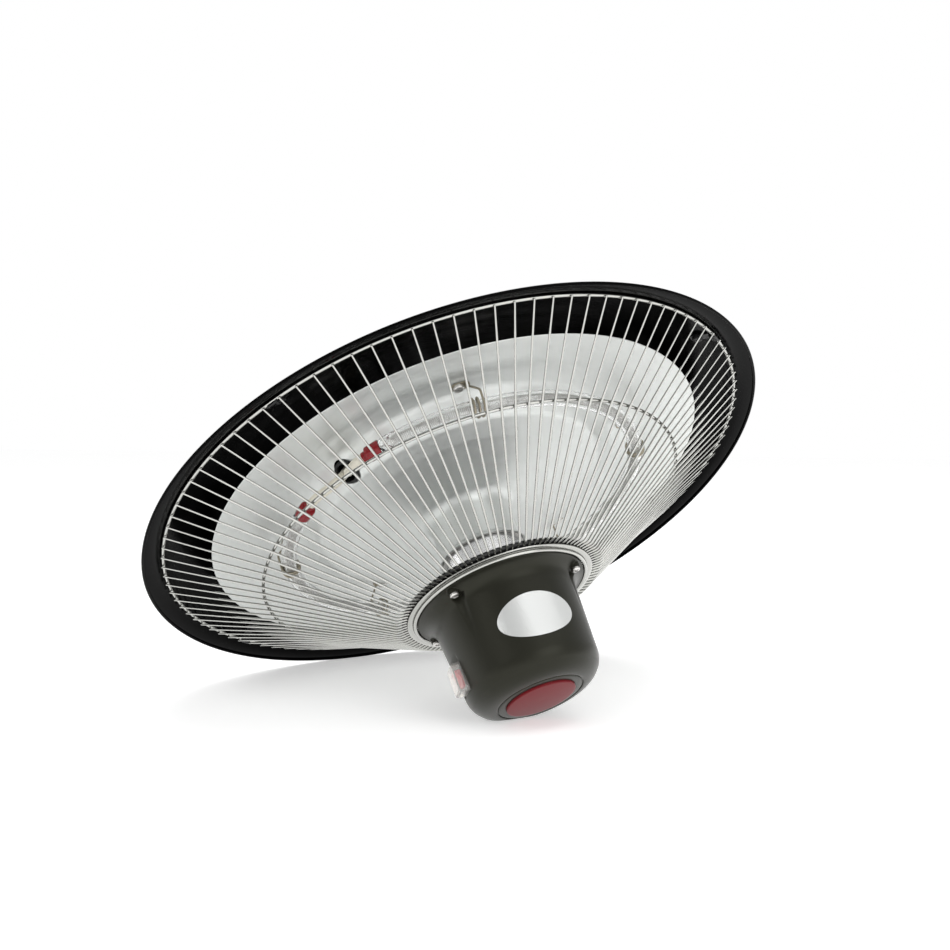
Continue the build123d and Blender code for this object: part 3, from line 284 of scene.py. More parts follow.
def lathe_rings():
    """Fine rings about the heater's axis, as the spinning tool leaves them."""
    group, given, gives = new_group("Lathe rings", {"Density": 900.0}, ["Height", "Tone"])
    place_node = group.nodes.new("ShaderNodeTexCoord")
    split = group.nodes.new("ShaderNodeSeparateXYZ")
    group.links.new(place_node.outputs["Object"], split.inputs[0])
    squares = [maths(group, "MULTIPLY", split.outputs[k], split.outputs[k]) for k in (0, 1)]
    radius = maths(group, "SQRT", maths(group, "ADD", *squares))
    along = maths(group, "ADD", radius, maths(group, "MULTIPLY", split.outputs[2],
                                              RING_SLOPE))
    for output, share in (("Height", 1.0), ("Tone", TONE_SHARE)):
        noise = group.nodes.new("ShaderNodeTexNoise")
        noise.noise_dimensions = "1D"
        noise.inputs["Scale"].default_value = 1.0
        noise.inputs["Detail"].default_value = 2.0
        scaled = maths(group, "MULTIPLY", along, maths(group, "MULTIPLY", given.outputs[0], share))
        group.links.new(scaled, noise.inputs["W"])
        group.links.new(noise.outputs[0], gives.inputs[output])
    return group


# %% [markdown]
# Moulded plastic copies the fine texture of its tool, and handled metal has soft marks: both are
# noise, at two scales, spread between two levels. A brushed plate is the same noise again, much
# finer across the brush's strokes than along them.


# %% Fine grain, soft marks and brushed lines
NOISE_LOW, NOISE_HIGH = 0.3, 0.7


def noise_group(name, scale, detail):
    """Noise in the object's own coordinates, spread between two levels."""
    inputs = {"Scale": scale, "Low": 0.0, "High": 1.0}
    group, given, gives = new_group(name, inputs, ["Value"])
    place_node = group.nodes.new("ShaderNodeTexCoord")
    noise = group.nodes.new("ShaderNodeTexNoise")
    noise.inputs["Detail"].default_value = detail
    group.links.new(place_node.outputs["Object"], noise.inputs["Vector"])
    group.links.new(given.outputs["Scale"], noise.inputs["Scale"])
    spread = group.nodes.new("ShaderNodeMapRange")
    spread.inputs["From Min"].default_value = NOISE_LOW
    spread.inputs["From Max"].default_value = NOISE_HIGH
    group.links.new(noise.outputs[0], spread.inputs["Value"])
    group.links.new(given.outputs["Low"], spread.inputs["To Min"])
    group.links.new(given.outputs["High"], spread.inputs["To Max"])
    group.links.new(spread.outputs[0], gives.inputs[0])
    return group


def brushed_lines():
    """Fine upright scratches: noise that is stretched along the heater's axis."""
    group, given, gives = new_group("Brushed lines", {"Across": 1300.0, "Along": 12.0}, ["Height"])
    place_node = group.nodes.new("ShaderNodeTexCoord")
    split = group.nodes.new("ShaderNodeSeparateXYZ")
    joined = group.nodes.new("ShaderNodeCombineXYZ")
    group.links.new(place_node.outputs["Object"], split.inputs[0])
    for k, size in enumerate(("Across", "Across", "Along")):
        stretched = maths(group, "MULTIPLY", split.outputs[k], given.outputs[size])
        group.links.new(stretched, joined.inputs[k])
    noise = group.nodes.new("ShaderNodeTexNoise")
    noise.inputs["Scale"].default_value = 1.0
    group.links.new(joined.outputs[0], noise.inputs["Vector"])
    group.links.new(noise.outputs[0], gives.inputs[0])
    return group


RINGS = lathe_rings()
BRUSH = brushed_lines()
GRAIN = noise_group("Fine grain", 2200.0, 2.0)
MARKS = noise_group("Soft marks", 14.0, 4.0)
print("groups", RINGS.name, BRUSH.name, GRAIN.name, MARKS.name)

# %% [markdown]
# One function makes every finish, so that all of them are built alike and only their numbers
# differ. Colour, metal and the like stay on the shader's own sockets; only gloss and relief,
# which vary over a surface, come through the groups.


# %% Material helper
STREAK_DENSITY = 1500.0
RELIEF_DEPTH = 0.0001


def grouped(tree, group, **values):
    """A group's outputs, with its inputs set to values."""
    node = tree.nodes.new("ShaderNodeGroup")
    node.node_tree = group
    for label, value in values.items():
        node.inputs[label].default_value = value
    return node.outputs


def material(name, colour, roughness, metallic=0.0, marks=0.0, grain=0.0, rings=0.0, streaks=0.0,
             brush=0.0, **sockets):
    """A Principled material: marks and streaks vary its gloss, the others its relief."""
    made = bpy.data.materials.new(name)
    made.use_nodes = True
    tree = made.node_tree
    shader = tree.nodes["Principled BSDF"]
    shader.inputs["Base Color"].default_value = (*colour, 1.0)
    shader.inputs["Roughness"].default_value = roughness
    shader.inputs["Metallic"].default_value = metallic
    for label, value in sockets.items():
        shader.inputs[label.replace("_", " ")].default_value = value
    if marks:
        value = grouped(tree, MARKS, Low=roughness - marks / 2, High=roughness + marks / 2)[0]
        if streaks:
            tone = grouped(tree, RINGS, Density=STREAK_DENSITY)["Tone"]
            turned = maths(tree, "MULTIPLY", maths(tree, "SUBTRACT", tone, 0.5), streaks)
            value = maths(tree, "ADD", value, turned, clamp=True)
        tree.links.new(value, shader.inputs["Roughness"])
    relief = None
    for group, strength in ((RINGS, rings), (GRAIN, grain), (BRUSH, brush)):
        if not strength:
            continue
        bump = tree.nodes.new("ShaderNodeBump")
        bump.inputs["Strength"].default_value = strength
        bump.inputs["Distance"].default_value = RELIEF_DEPTH
        tree.links.new(grouped(tree, group)[0], bump.inputs["Height"])
        if relief:
            tree.links.new(relief, bump.inputs["Normal"])
        relief = bump.outputs[0]
    if relief:
        tree.links.new(relief, shader.inputs["Normal"])
    return made


def spin(made):
    """Turn a material's grain round the heater's axis, so that its glints fan out from it."""
    tree = made.node_tree
    tangent = tree.nodes.new("ShaderNodeTangent")
    tangent.direction_type = "RADIAL"
    tangent.axis = "Z"
    tree.links.new(tangent.outputs[0], tree.nodes["Principled BSDF"].inputs["Tangent"])


# %% [markdown]
# The finishes themselves. The shade is glossy black enamel, the housing a satin black moulding
# with the fine texture of a tool, the dish bright spun aluminium whose rings blur what it mirrors,
# and the guard bright nickel on steel wire. Pieces that keep their CAD shape get theirs here.

# %% Finishes
ENAMEL = material("black_enamel", (0.0006, 0.0006, 0.0006), 0.16, marks=0.05, grain=0.04,
                  streaks=0.3, Specular_IOR_Level=0.022)
MOULDED = material("black_moulding", (0.0095, 0.0095, 0.0065), 0.36, marks=0.08, grain=0.2,
                   Specular_IOR_Level=0.22, Specular_Tint=(1.0, 1.0, 0.84, 1.0))
SPUN = material("spun_aluminium", (0.64, 0.655, 0.64), 0.42, 0.9, marks=0.06, rings=0.12,
                streaks=0.25, Anisotropic=0.7, Anisotropic_Rotation=0.25)
spin(SPUN)
COLUMN = material("column_aluminium", (0.82, 0.82, 0.82), 0.22, 1.0, marks=0.05, rings=0.05)
NICKEL = material("bright_wire", (0.38, 0.38, 0.36), 0.20, 1.0, marks=0.08)
ZINC = material("zinc_plate", (0.55, 0.54, 0.52), 0.34, 1.0, marks=0.1, grain=0.1)
SPRING = material("spring_wire", (0.30, 0.27, 0.21), 0.34, 1.0, marks=0.1)
BRASS = material("brass_parts", (0.62, 0.47, 0.22), 0.34, 1.0, marks=0.1, grain=0.1)
BLACKED = material("blackened_steel", (0.010, 0.010, 0.010), 0.35, marks=0.1, grain=0.1,
                   Specular_IOR_Level=0.3)
QUARTZ = material("clear_quartz", (0.98, 0.98, 0.98), 0.02, Transmission_Weight=1.0, IOR=1.46)
FILAMENT = material("filament_wire", (0.46, 0.45, 0.43), 0.38, 1.0, marks=0.1)
SILICONE = material("red_silicone", (0.22, 0.004, 0.008), 0.12, marks=0.06, grain=0.08,
                    Specular_IOR_Level=0.35)
SLEEVE = material("cream_sleeve", (0.74, 0.70, 0.60), 0.78, grain=0.8)
BUSH = material("dark_grommet", (0.012, 0.012, 0.012), 0.4, marks=0.08, Specular_IOR_Level=0.3)
WINDOW = material("red_window", (0.15, 0.012, 0.016), 0.3, marks=0.06, Specular_IOR_Level=0.05)
ROCKER = material("red_rocker", (0.70, 0.02, 0.05), 0.25, marks=0.06)
CLEAR = material("clear_boot", (0.93, 0.91, 0.88), 0.12, marks=0.05, Transmission_Weight=0.82,
                 IOR=1.4)
SWITCH = material("switch_black", (0.012, 0.012, 0.012), 0.35, marks=0.08, grain=0.15)
PLATE = material("brushed_plate", (0.70, 0.71, 0.70), 0.26, 1.0, marks=0.04, brush=0.3)
BOARD = material("board_green", (0.02, 0.16, 0.07), 0.4, marks=0.08, grain=0.1)
CAN = material("can_grey", (0.12, 0.12, 0.15), 0.35, marks=0.08)
WHITE = material("white_moulding", (0.80, 0.80, 0.78), 0.45, marks=0.08, grain=0.2)
FINISHES = {
    "black_enamel": ENAMEL, "black_plastic": MOULDED, "spun_aluminium": SPUN, "pale_bush": BUSH,
    "zinc_steel": ZINC, "spring_steel": SPRING, "brass_parts": BRASS, "quartz": QUARTZ,
    "filament_wire": FILAMENT, "red_silicone": SILICONE, "cream_sleeve": SLEEVE,
    "bright_wire": NICKEL, "brushed_plate": PLATE, "red_window": WINDOW,
    "switch_black": SWITCH, "rocker_red": ROCKER, "clear_boot": CLEAR, "board_green": BOARD,
    "can_grey": CAN, "terminal_white": WHITE}
for entry in frame["record"]["subparts"]:
    node = frame["nodes"][entry["node"]]
    node.data.materials.clear()
    blacked = entry["node"].startswith("guard_clip")
    node.data.materials.append(BLACKED if blacked else FINISHES[entry["material_slot"]])
print("finishes", len(FINISHES))

# %% [markdown]
# ## Shade
# A black spun dome with a flat crown. Its edge is folded over into a thin hem, which catches a
# line of light all round. The profile is one arc, as the chuck gives it, so one revolve makes it.


# %% Shade
def arc_through(first, middle, last, steps):
    """Points on the circle through three points."""
    a, b, c = Vector(first), Vector(middle), Vector(last)
    d = 2 * (a.x * (b.y - c.y) + b.x * (c.y - a.y) + c.x * (a.y - b.y))
    sq = [p.length_squared for p in (a, b, c)]
    centre = Vector(((sq[0] * (b.y - c.y) + sq[1] * (c.y - a.y) + sq[2] * (a.y - b.y)) / d,
                     (sq[0] * (c.x - b.x) + sq[1] * (a.x - c.x) + sq[2] * (b.x - a.x)) / d))
    start, end = (math.atan2((p - centre).y, (p - centre).x) for p in (a, c))
    size = (a - centre).length
    return [centre + Vector((math.cos(start + (end - start) * k / steps),
                             math.sin(start + (end - start) * k / steps))) * size
            for k in range(steps + 1)]


BRIM, CROWN_EDGE = (204.5, 2.8), (64.0, 56.0)
HEM_CENTRE, HEM = Vector((211.5, 0.2)), 1.0
SHADE_WALL = 1.0
dome = arc_through(BRIM, (134.25, 36.12), CROWN_EDGE, 48)
fold = rounded([(211.5, 0.75), BRIM, tuple(dome[4])], [14])
crown = rounded([tuple(dome[-3]), CROWN_EDGE, (45.0, 56.0)], [20], 6)
sheet = thickened(fold[:-1] + dome[4:-2] + crown[1:], SHADE_WALL)
finish_mesh("shade_dome", spun("shade_dome", sheet, 360), ENAMEL, stands_for=["shade"])
hem = [HEM_CENTRE + Vector((math.cos(math.pi * k / 8), math.sin(math.pi * k / 8))) * HEM
       for k in range(16)]
finish_mesh("shade_hem", spun("shade_hem", hem, 360), ENAMEL, stands_for=["shade"])
print("shade points", len(sheet), "hem points", len(hem))

# %% [markdown]
# ## Reflector and column
# The dish is spun from bright aluminium: an edge, a trough over the lamp, a crest, a long gentle
# cone and a neck that turns down round the column. It blurs what it mirrors along the rings. The
# hole for the lamp's leads is drilled through the spun sheet, as it is on the real one.

# %% Reflector and column
DISH = [(168.6, 1.8), (129.0, 13.8), (112.0, 12.8), (98.5, -0.6), (26.7, -7.0), (26.7, -37.8),
        (29.9, -41.0)]
DISH_BENDS = [26, 9, 8, 9, 1.5]
DISH_WALL, TUBE_WALL = 0.8, 1.2
LEAD_HOLE, LEAD_HOLE_ANGLE, LEAD_HOLE_RADIUS = 104.2, GAP_ANGLE - 0.8, 7.0


def drilled(mesh, radius, angle, level, size, depth):
    """Cut a round hole through a spun sheet, upright at a radius and an angle."""
    drill = bpy.data.meshes.new("drill")
    work = bmesh.new()
    bmesh.ops.create_cone(work, cap_ends=True, segments=48, radius1=size * 0.001,
                          radius2=size * 0.001, depth=depth * 0.001,
                          matrix=Matrix.Translation(polar(radius, angle, level)))
    work.to_mesh(drill)
    work.free()
    sheet, tool = (bpy.data.objects.new(data.name, data) for data in (mesh, drill))
    for thing in (sheet, tool):
        bpy.context.scene.collection.objects.link(thing)
    cut = sheet.modifiers.new("hole", "BOOLEAN")
    cut.operation, cut.solver, cut.object = "DIFFERENCE", "EXACT", tool
    result = bpy.data.meshes.new_from_object(
        sheet.evaluated_get(bpy.context.evaluated_depsgraph_get()))
    for thing in (sheet, tool):
        bpy.data.objects.remove(thing)
    return result


dish_outline = thickened(rounded(DISH, DISH_BENDS, 10), DISH_WALL)
dish_sheet = drilled(spun("dish", dish_outline, 320), LEAD_HOLE, LEAD_HOLE_ANGLE, 5,
                     LEAD_HOLE_RADIUS, 20)
finish_mesh("dish", dish_sheet, SPUN, stands_for=["reflector"])
tube_line = rounded([(25.4, -67.9), (25.4, 52.4), (37.0, 52.4)], [2.5])
finish_mesh("column", spun("column", thickened(tube_line, TUBE_WALL), 160), COLUMN,
            stands_for=["support_tube"])
print("dish faces", len(dish_sheet.polygons))

# %% [markdown]
# ## Wire guard
# The guard is what gives this heater its look: radial wires, all alike, laid under an outer and
# over an inner ring, with a knee at the middle ring. Real wires are bent in a jig, so one path
# with two small bends is swept once and copied round the axis. Their inner ends lie between a
# flat band and a black disc, which shows between the wires as a row of dark teeth.

# %% Guard wires
WIRE_PATH = [(200.0, 2.6), (142.9, -27.6), (69.6, -72.3), (54.6, -72.3)]
WIRE_BENDS = [14, 5]
WIRE_RADIUS, WIRE_SIDES, WIRE_END = 0.8, 10, 0.7


def guard_wires(radius, sides):
    """All radial wires as one mesh of round rods."""
    line = rounded(WIRE_PATH, WIRE_BENDS, 7)
    points, faces = [], []
    for index in range(WIRE_COUNT):
        angle = math.radians(WIRE_PHASE + 360 * index / WIRE_COUNT)
        out = Vector((math.cos(angle), math.sin(angle), 0))
        side = Vector((-out.y, out.x, 0))
        base = len(points)
        for k, point in enumerate(line):
            back, front = line[max(k - 1, 0)], line[min(k + 1, len(line) - 1)]
            way = (front - back).normalized()
            normal = out * -way.y + Vector((0, 0, way.x))
            centre = out * point.x + Vector((0, 0, point.y - RIM_LEVEL))
            end = WIRE_END if k in (0, len(line) - 1) else 1.0
            for j in range(sides):
                turn = 2 * math.pi * j / sides
                arm = side * math.cos(turn) + normal * math.sin(turn)
                points.append((centre + arm * radius * end) * 0.001)
        for k in range(len(line) - 1):
            for j in range(sides):
                a, b = base + k * sides + j, base + k * sides + (j + 1) % sides
                faces.append((a, b, b + sides, a + sides))
        faces.append(tuple(base + j for j in range(sides))[::-1])
        last = base + (len(line) - 1) * sides
        faces.append(tuple(last + j for j in range(sides)))
    mesh = bpy.data.meshes.new("guard_wires")
    mesh.from_pydata(points, [], faces)
    return outward(mesh)


finish_mesh("radial_wires", guard_wires(WIRE_RADIUS, WIRE_SIDES), NICKEL,
            stands_for=["guard_wires"])
for name, node, radius, level, wire in (
        ("outer_ring_wire", "guard_outer_ring", 198.6, 4.12, 1.2),
        ("middle_ring_wire", "guard_middle_ring", 142.9, -25.5, 1.0),
        ("inner_ring_wire", "guard_inner_ring", 58.2, -74.6, 1.2)):
    section = [(radius + a, level + b) for a, b in circle(wire, 14)]
    finish_mesh(name, spun(name, section, 320), NICKEL, stands_for=[node])
band = thickened([Vector((59.8, -73.8)), Vector((61.2, -73.75)), Vector((62.6, -73.6))], 0.9)
finish_mesh("inner_ring_band", spun("inner_ring_band", band, 320), NICKEL,
            stands_for=["guard_inner_ring"])
plate_line = rounded([(46.0, -71.4), (64.2, -71.4), (65.2, -71.0)], [1.0], 4)
finish_mesh("clamp_plate", spun("clamp_plate", thickened(plate_line, 1.6), 256), BLACKED,
            stands_for=["clamp_disc"])
print("guard wires", WIRE_COUNT)

# %% [markdown]
# ## Lamp
# A quartz ring, open over a gap, with a fine tungsten coil inside. Its ends are pinched flat over
# the seals and each carries a dark red boot. All of them follow the ring, so they are sections
# placed at angles: `around` skins them. The coil has some six hundred turns, as a real one has.


# %% Lamp pieces
FLATNESS = 0.4
RING_STEPS = 220


def around(name, stations):
    """A skin over sections of (outwards, up) offsets, each at an angle round the lamp's ring."""
    rows = [[polar(LAMP_RADIUS + a, angle, LAMP_LEVEL + b) for a, b in section]
            for angle, section in stations]
    return cap_ends(grid_mesh(name, rows), rows)


def flattened(radius, thick, wide, share, sides=20):
    """A section between a circle and a rounded flat, by share."""
    section = []
    for k in range(sides):
        turn = 2 * math.pi * k / sides
        c, s = math.cos(turn), math.sin(turn)
        flat = (math.copysign(abs(c) ** FLATNESS, c) * thick / 2,
                math.copysign(abs(s) ** FLATNESS, s) * wide / 2)
        section.append((radius * c * (1 - share) + flat[0] * share,
                        radius * s * (1 - share) + flat[1] * share))
    return section


PINCH, PINCH_FADE = 9.0, 3.0
PER_MM = math.degrees(1 / LAMP_RADIUS)
FIRST, LAST = GAP_ANGLE + GAP_HALF, GAP_ANGLE + 360 - GAP_HALF


def along_lamp(shape, pinch):
    """Stations round the lamp: even steps between the seals, closer steps over them."""
    ends = [pinch * PER_MM * share / 6 for share in range(7)]
    inner = FIRST + ends[-1], LAST - ends[-1]
    steps = [inner[0] + (inner[1] - inner[0]) * k / RING_STEPS for k in range(1, RING_STEPS)]
    angles = [FIRST + part for part in ends] + steps + [LAST - part for part in ends[::-1]]
    return [(angle, shape(min(angle - FIRST, LAST - angle) / PER_MM)) for angle in angles]


def quartz_section(distance):
    """Pinched flat at the ends, round where the pinch ends."""
    share = max(0.0, min(1.0, (PINCH - distance) / PINCH_FADE))
    return flattened(5.0, 3.0, 8.0, share * share * (3 - 2 * share))


lamp_mesh = around("lamp_quartz", along_lamp(quartz_section, PINCH))
BORE_INSET, BORE_RADII = 10, (1.0, 3.0, 3.8, 4.0)
bore = []
for k in range(RING_STEPS + 1):
    angle = FIRST + BORE_INSET * PER_MM
    angle += (LAST - FIRST - 2 * BORE_INSET * PER_MM) * k / RING_STEPS
    near = min(k, RING_STEPS - k)
    bore.append((angle, circle(BORE_RADII[min(near, 3)], 20)))
bore_mesh = around("bore", bore)
work = bmesh.new()
work.from_mesh(bore_mesh)
bmesh.ops.reverse_faces(work, faces=work.faces)
work.from_mesh(lamp_mesh)
work.to_mesh(lamp_mesh)
work.free()
finish_mesh("lamp_quartz", lamp_mesh, QUARTZ, stands_for=["lamp_tube"])
print("lamp faces", len(lamp_mesh.polygons))

# %% [markdown]
# The filament is one long coil of fine wire that runs round inside the quartz. Its path is a
# circle that travels along the ring, and short tails lead from its ends to the seals.

# %% Filament
COIL_TURNS, COIL_STEPS, COIL_RADIUS, COIL_WIRE = 600, 11, 2.5, 0.24
COIL_INSET = 13
coil_path = []
first, last = FIRST + COIL_INSET * PER_MM, LAST - COIL_INSET * PER_MM
for k in range(COIL_TURNS * COIL_STEPS + 1):
    turn = 2 * math.pi * k / COIL_STEPS
    angle = first + (last - first) * k / (COIL_TURNS * COIL_STEPS)
    coil_path.append(polar(LAMP_RADIUS + COIL_RADIUS * math.cos(turn), angle,
                           LAMP_LEVEL + COIL_RADIUS * math.sin(turn)))
tails = [[polar(LAMP_RADIUS + reach, angle + way * back * PER_MM, LAMP_LEVEL)
          for back, reach in ((6.0, 0.0), (3.5, 0.0), (1.5, 0.8), (0.5, 1.8))]
         for angle, way in ((first, -1), (last, 1))]
coil_path = tails[0] + coil_path + tails[1][::-1]
coil_mesh = swept("filament_coil", coil_path, circle(COIL_WIRE, 4))
finish_mesh("filament_coil", coil_mesh, FILAMENT, stands_for=["filament"], sharp=180)
print("filament turns", COIL_TURNS)

# %% [markdown]
# The boots are dark red silicone, pushed over the lamp's pinched ends. Each is a round body with
# soft edges and a ribbed nose for the lead, so it is a list of distances along it and radii.

# %% Boots on the lamp's ends
BOOT_OVERLAP = 6.75
BOOT = [(0.0, 4.3), (0.15, 4.8), (0.5, 5.05), (1.2, 5.1), (8.3, 5.1), (8.9, 5.0), (9.3, 4.6),
        (9.45, 4.0), (9.5, 3.5), (9.7, 3.4), (10.3, 3.4), (10.45, 3.25), (10.7, 3.25),
        (10.85, 3.4), (11.4, 3.4), (11.55, 3.25), (11.8, 3.25), (11.95, 3.4), (12.4, 3.35),
        (12.5, 3.1)]
for name, end, way in (("boot_first", FIRST, -1), ("boot_last", LAST, 1)):
    back = end - way * BOOT_OVERLAP * PER_MM
    stations = [(back + way * distance * PER_MM, circle(radius, 28)) for distance, radius in BOOT]
    finish_mesh(name, around(name, stations), SILICONE, stands_for=["lamp_boots"])

# %% [markdown]
# ## Control housing
# One moulding: a flange, a concave neck, a gently tapered wall and a rounded end with a groove
# round the window, with a fine step where the tool's halves meet. Four scallops make room for the
# screws. A round form with such local cuts is a sheet of radii over angle and height, so each
# scallop, and the flat for the switch, is a softened upper bound on the radius, which also gives
# their edges the small rounding of a moulding.

# %% Housing
SCREW_ANGLES, SCREW_CIRCLE = (-140.8, -35.4, 35.4, 140.8), 52.0
SCREW_SEAT, POCKET_RADIUS, BOSS_RADIUS, BOSS_TOP = -79.2, 5.8, 3.5, -75.8
POCKET_EDGE, SWITCH_EDGE = 0.9, 0.5
NEARBY = 0.5
SWITCH_LEVEL, SWITCH_REACH, SWITCH_FLAT = -120.5, 14, 42.6
SWITCH_HALF_WIDE, SWITCH_HALF_TALL, SWITCH_WALL_SLOPE = 7.9, 10.2, 3.0
FINE_ABOVE, FINE_STEP, COARSE_STEP = -115, 0.8, 2.0
HOUSING_SEGMENTS = 720
GROOVE_ROWS = ((28.6, -144.6), (28.3, -144.45), (28.2, -143.9), (27.6, -143.9), (27.4, -144.5),
               (27.1, -144.7), (23.2, -144.9), (22.8, -144.8), (22.75, -143.2), (20.0, -143.2))
housing_line = rounded([(56.4, -73.1), (56.4, -75.5), (47.8, -77.7), (43.0, -142.6),
                        (29.6, -144.6)], [0.5, 11, 16], 30)
PARTING_LEVEL, PARTING_STEP = -138.4, 0.16


def soft_min(first, second, blend):
    """The smaller of two numbers, rounded over where they meet."""
    share = max(0.0, min(1.0, 0.5 + 0.5 * (second - first) / blend))
    return second + (first - second) * share - blend * share * (1 - share)


def scallop(radius, angle, level):
    """Cut a screw's channel into a radius."""
    for screw in SCREW_ANGLES:
        away = math.radians((angle - screw + 180) % 360 - 180)
        if abs(away) > NEARBY:
            continue
        side, out = SCREW_CIRCLE * math.sin(away), SCREW_CIRCLE * math.cos(away)
        if level > SCREW_SEAT:
            boss = BOSS_RADIUS ** 2 - side ** 2
            if boss > 0 and level < BOSS_TOP:
                radius = max(radius, out + math.sqrt(boss))
            continue
        reach = POCKET_RADIUS ** 2 - side ** 2
        if reach > 0:
            radius = soft_min(radius, out - math.sqrt(reach), POCKET_EDGE)
    return radius


def switch_seat(radius, angle, level):
    """Sink the flat under the switch's boot, with steep soft walls round it."""
    away = math.radians((angle + 360) % 360 - 180)
    height = abs(level - SWITCH_LEVEL)
    if abs(away) > NEARBY or height > SWITCH_REACH:
        return radius
    outside = max(abs(radius * math.sin(away)) - SWITCH_HALF_WIDE, height - SWITCH_HALF_TALL, 0.0)
    bound = SWITCH_FLAT / math.cos(away) + outside * SWITCH_WALL_SLOPE
    return soft_min(radius, bound, SWITCH_EDGE)


def housing_row(radius, level, cut=True):
    """A closed row of points round the housing, with its local cuts or plainly round."""
    row = []
    for k in range(HOUSING_SEGMENTS):
        angle = 360 * k / HOUSING_SEGMENTS
        wide = switch_seat(scallop(radius, angle, level), angle, level) if cut else radius
        row.append(polar(wide, angle, level))
    return row


def housing_rows():
    """Rows of points down the housing's side and over its end."""
    levels = []
    for start, end in zip(housing_line, housing_line[1:]):
        step = FINE_STEP if end.y > FINE_ABOVE else COARSE_STEP
        cuts = max(1, int((end - start).length / step))
        levels += [start.lerp(end, k / cuts) for k in range(cuts)]
    levels.append(housing_line[-1])
    rows = []
    for point in levels:
        wide = point.x - (PARTING_STEP if point.y < PARTING_LEVEL else 0.0)
        rows.append(housing_row(wide, point.y))
    return rows + [housing_row(radius, level, cut=False) for radius, level in GROOVE_ROWS]


finish_mesh("housing_shell", grid_mesh("housing_shell", housing_rows()), MOULDED,
            stands_for=["housing"], sharp=50)
print("housing points", len(housing_line), "groove rows", len(GROOVE_ROWS))

# %% [markdown]
# A pan head is a low dome with a cross pressed into it. The cross is a dip in the height of the
# dome wherever a point lies near one of two lines, so it needs no cutting.


# %% Housing screws
CROSS_HALF, CROSS_REACH, CROSS_DEPTH = 0.15, 0.62, 0.5
DOME_SIDE, DOME_POWER = 0.55, 2.4
HEAD_RINGS, HEAD_SIDES = 12, 48
HEAD_RADIUS, HEAD_TALL, SHANK_RADIUS, SCREW_LENGTH = 2.9, 2.0, 1.9, 9.0


def screw_height(x, y, head, tall):
    """The height of a cross-recessed dome at a point."""
    share = min(1.0, math.hypot(x, y) / head)
    dome_high = tall * (DOME_SIDE + (1 - DOME_SIDE) * math.sqrt(1 - share ** DOME_POWER))
    near = min(abs(x), abs(y))
    if near < head * CROSS_HALF and share < CROSS_REACH:
        dome_high -= tall * CROSS_DEPTH
    return dome_high


def pan_screw(seat_at, angle, head, tall, shank, length):
    """Rows of points of one screw whose head looks down, from the dome's middle to the tip."""
    points = []
    for ring in range(HEAD_RINGS + 1):
        radius = max(0.01, head * ring / HEAD_RINGS)
        points.append([(x, y, -screw_height(x, y, head, tall))
                       for x, y in circle(radius, HEAD_SIDES)])
    for radius, level in ((head, 0.0), (shank, 0.0), (shank, length - 1.0), (0.3, length)):
        points.append([(x, y, level) for x, y in circle(radius, HEAD_SIDES)])
    spin_by = Matrix.Rotation(math.radians(angle), 3, "Z")
    return [[seat_at + spin_by @ Vector(point) * 0.001 for point in row] for row in points]


screws = bmesh.new()
for index, angle in enumerate(SCREW_ANGLES):
    seat_at = polar(SCREW_CIRCLE, angle, SCREW_SEAT)
    one = grid_mesh("screw", pan_screw(seat_at, 40 * index, HEAD_RADIUS, HEAD_TALL, SHANK_RADIUS,
                                       SCREW_LENGTH))
    screws.from_mesh(one)
    bpy.data.meshes.remove(one)
screw_mesh = bpy.data.meshes.new("housing_screw_heads")
screws.to_mesh(screw_mesh)
screws.free()
finish_mesh("housing_screw_heads", outward(screw_mesh), ZINC, stands_for=["housing_screws"],
            sharp=30)
print("housing screws", len(SCREW_ANGLES))

# %% [markdown]
# The window is a deep red disc, a little domed, which stands one to two millimetres proud of the
# housing's end. One profile turned about the axis gives its side wall, its edge and its face.

# %% Window
window_line = arc_through((22.3, -146.1), (15.0, -146.5), (0.01, -146.75), 16)
window_outline = [Vector((22.6, -143.0)), Vector((22.6, -145.8)), Vector((22.5, -146.0))]
window_outline += window_line
WINDOW_SIDES = 128
window_rows = [[polar(point.x, 360 * k / WINDOW_SIDES, point.y) for k in range(WINDOW_SIDES)]
               for point in window_outline]
finish_mesh("receiver_disc", grid_mesh("receiver_disc", window_rows), WINDOW,
            stands_for=["receiver_window"])
print("window rows", len(window_rows))

# %% [markdown]
# ## Stage
# The table is tilted, because the frame keeps the heater upright while in the photograph it lies
# on its rim and its housing. The table shows from above only, so that views from below see past
# it. To the camera it is white, and it keeps the heater's soft shadow.

# %% Stage
TABLE_HALF = 6
TABLE_COLOUR = (0.86, 0.86, 0.86, 1)
TABLE_GLOW, TABLE_MIRRORED = 0.44, 0.95
WHITE_LIGHT = (1, 1, 1, 1)
up = Vector((0.165, -0.595, 0.786)).normalized()
contact = place(-56.8, 204.8, 0)
side = up.orthogonal().normalized()
beside = up.cross(side)
corners = [contact + side * a * TABLE_HALF + beside * b * TABLE_HALF
           for a, b in ((-1, -1), (1, -1), (1, 1), (-1, 1))]
floor_mesh = bpy.data.meshes.new("table")
floor_mesh.from_pydata(corners, [], [(0, 1, 2, 3)])
if floor_mesh.polygons[0].normal.dot(up) < 0:
    floor_mesh.flip_normals()
floor = bpy.data.objects.new("table", floor_mesh)
bpy.context.scene.collection.objects.link(floor)
table_white = bpy.data.materials.new("table_white")
table_white.use_nodes = True
tree = table_white.node_tree
tree.nodes.remove(tree.nodes["Principled BSDF"])
diffuse = tree.nodes.new("ShaderNodeBsdfDiffuse")
diffuse.inputs[0].default_value = TABLE_COLOUR
glow = tree.nodes.new("ShaderNodeEmission")
glow.inputs["Color"].default_value = WHITE_LIGHT
path = tree.nodes.new("ShaderNodeLightPath")
seen = tree.nodes.new("ShaderNodeMapRange")
seen.inputs["To Min"].default_value = TABLE_GLOW
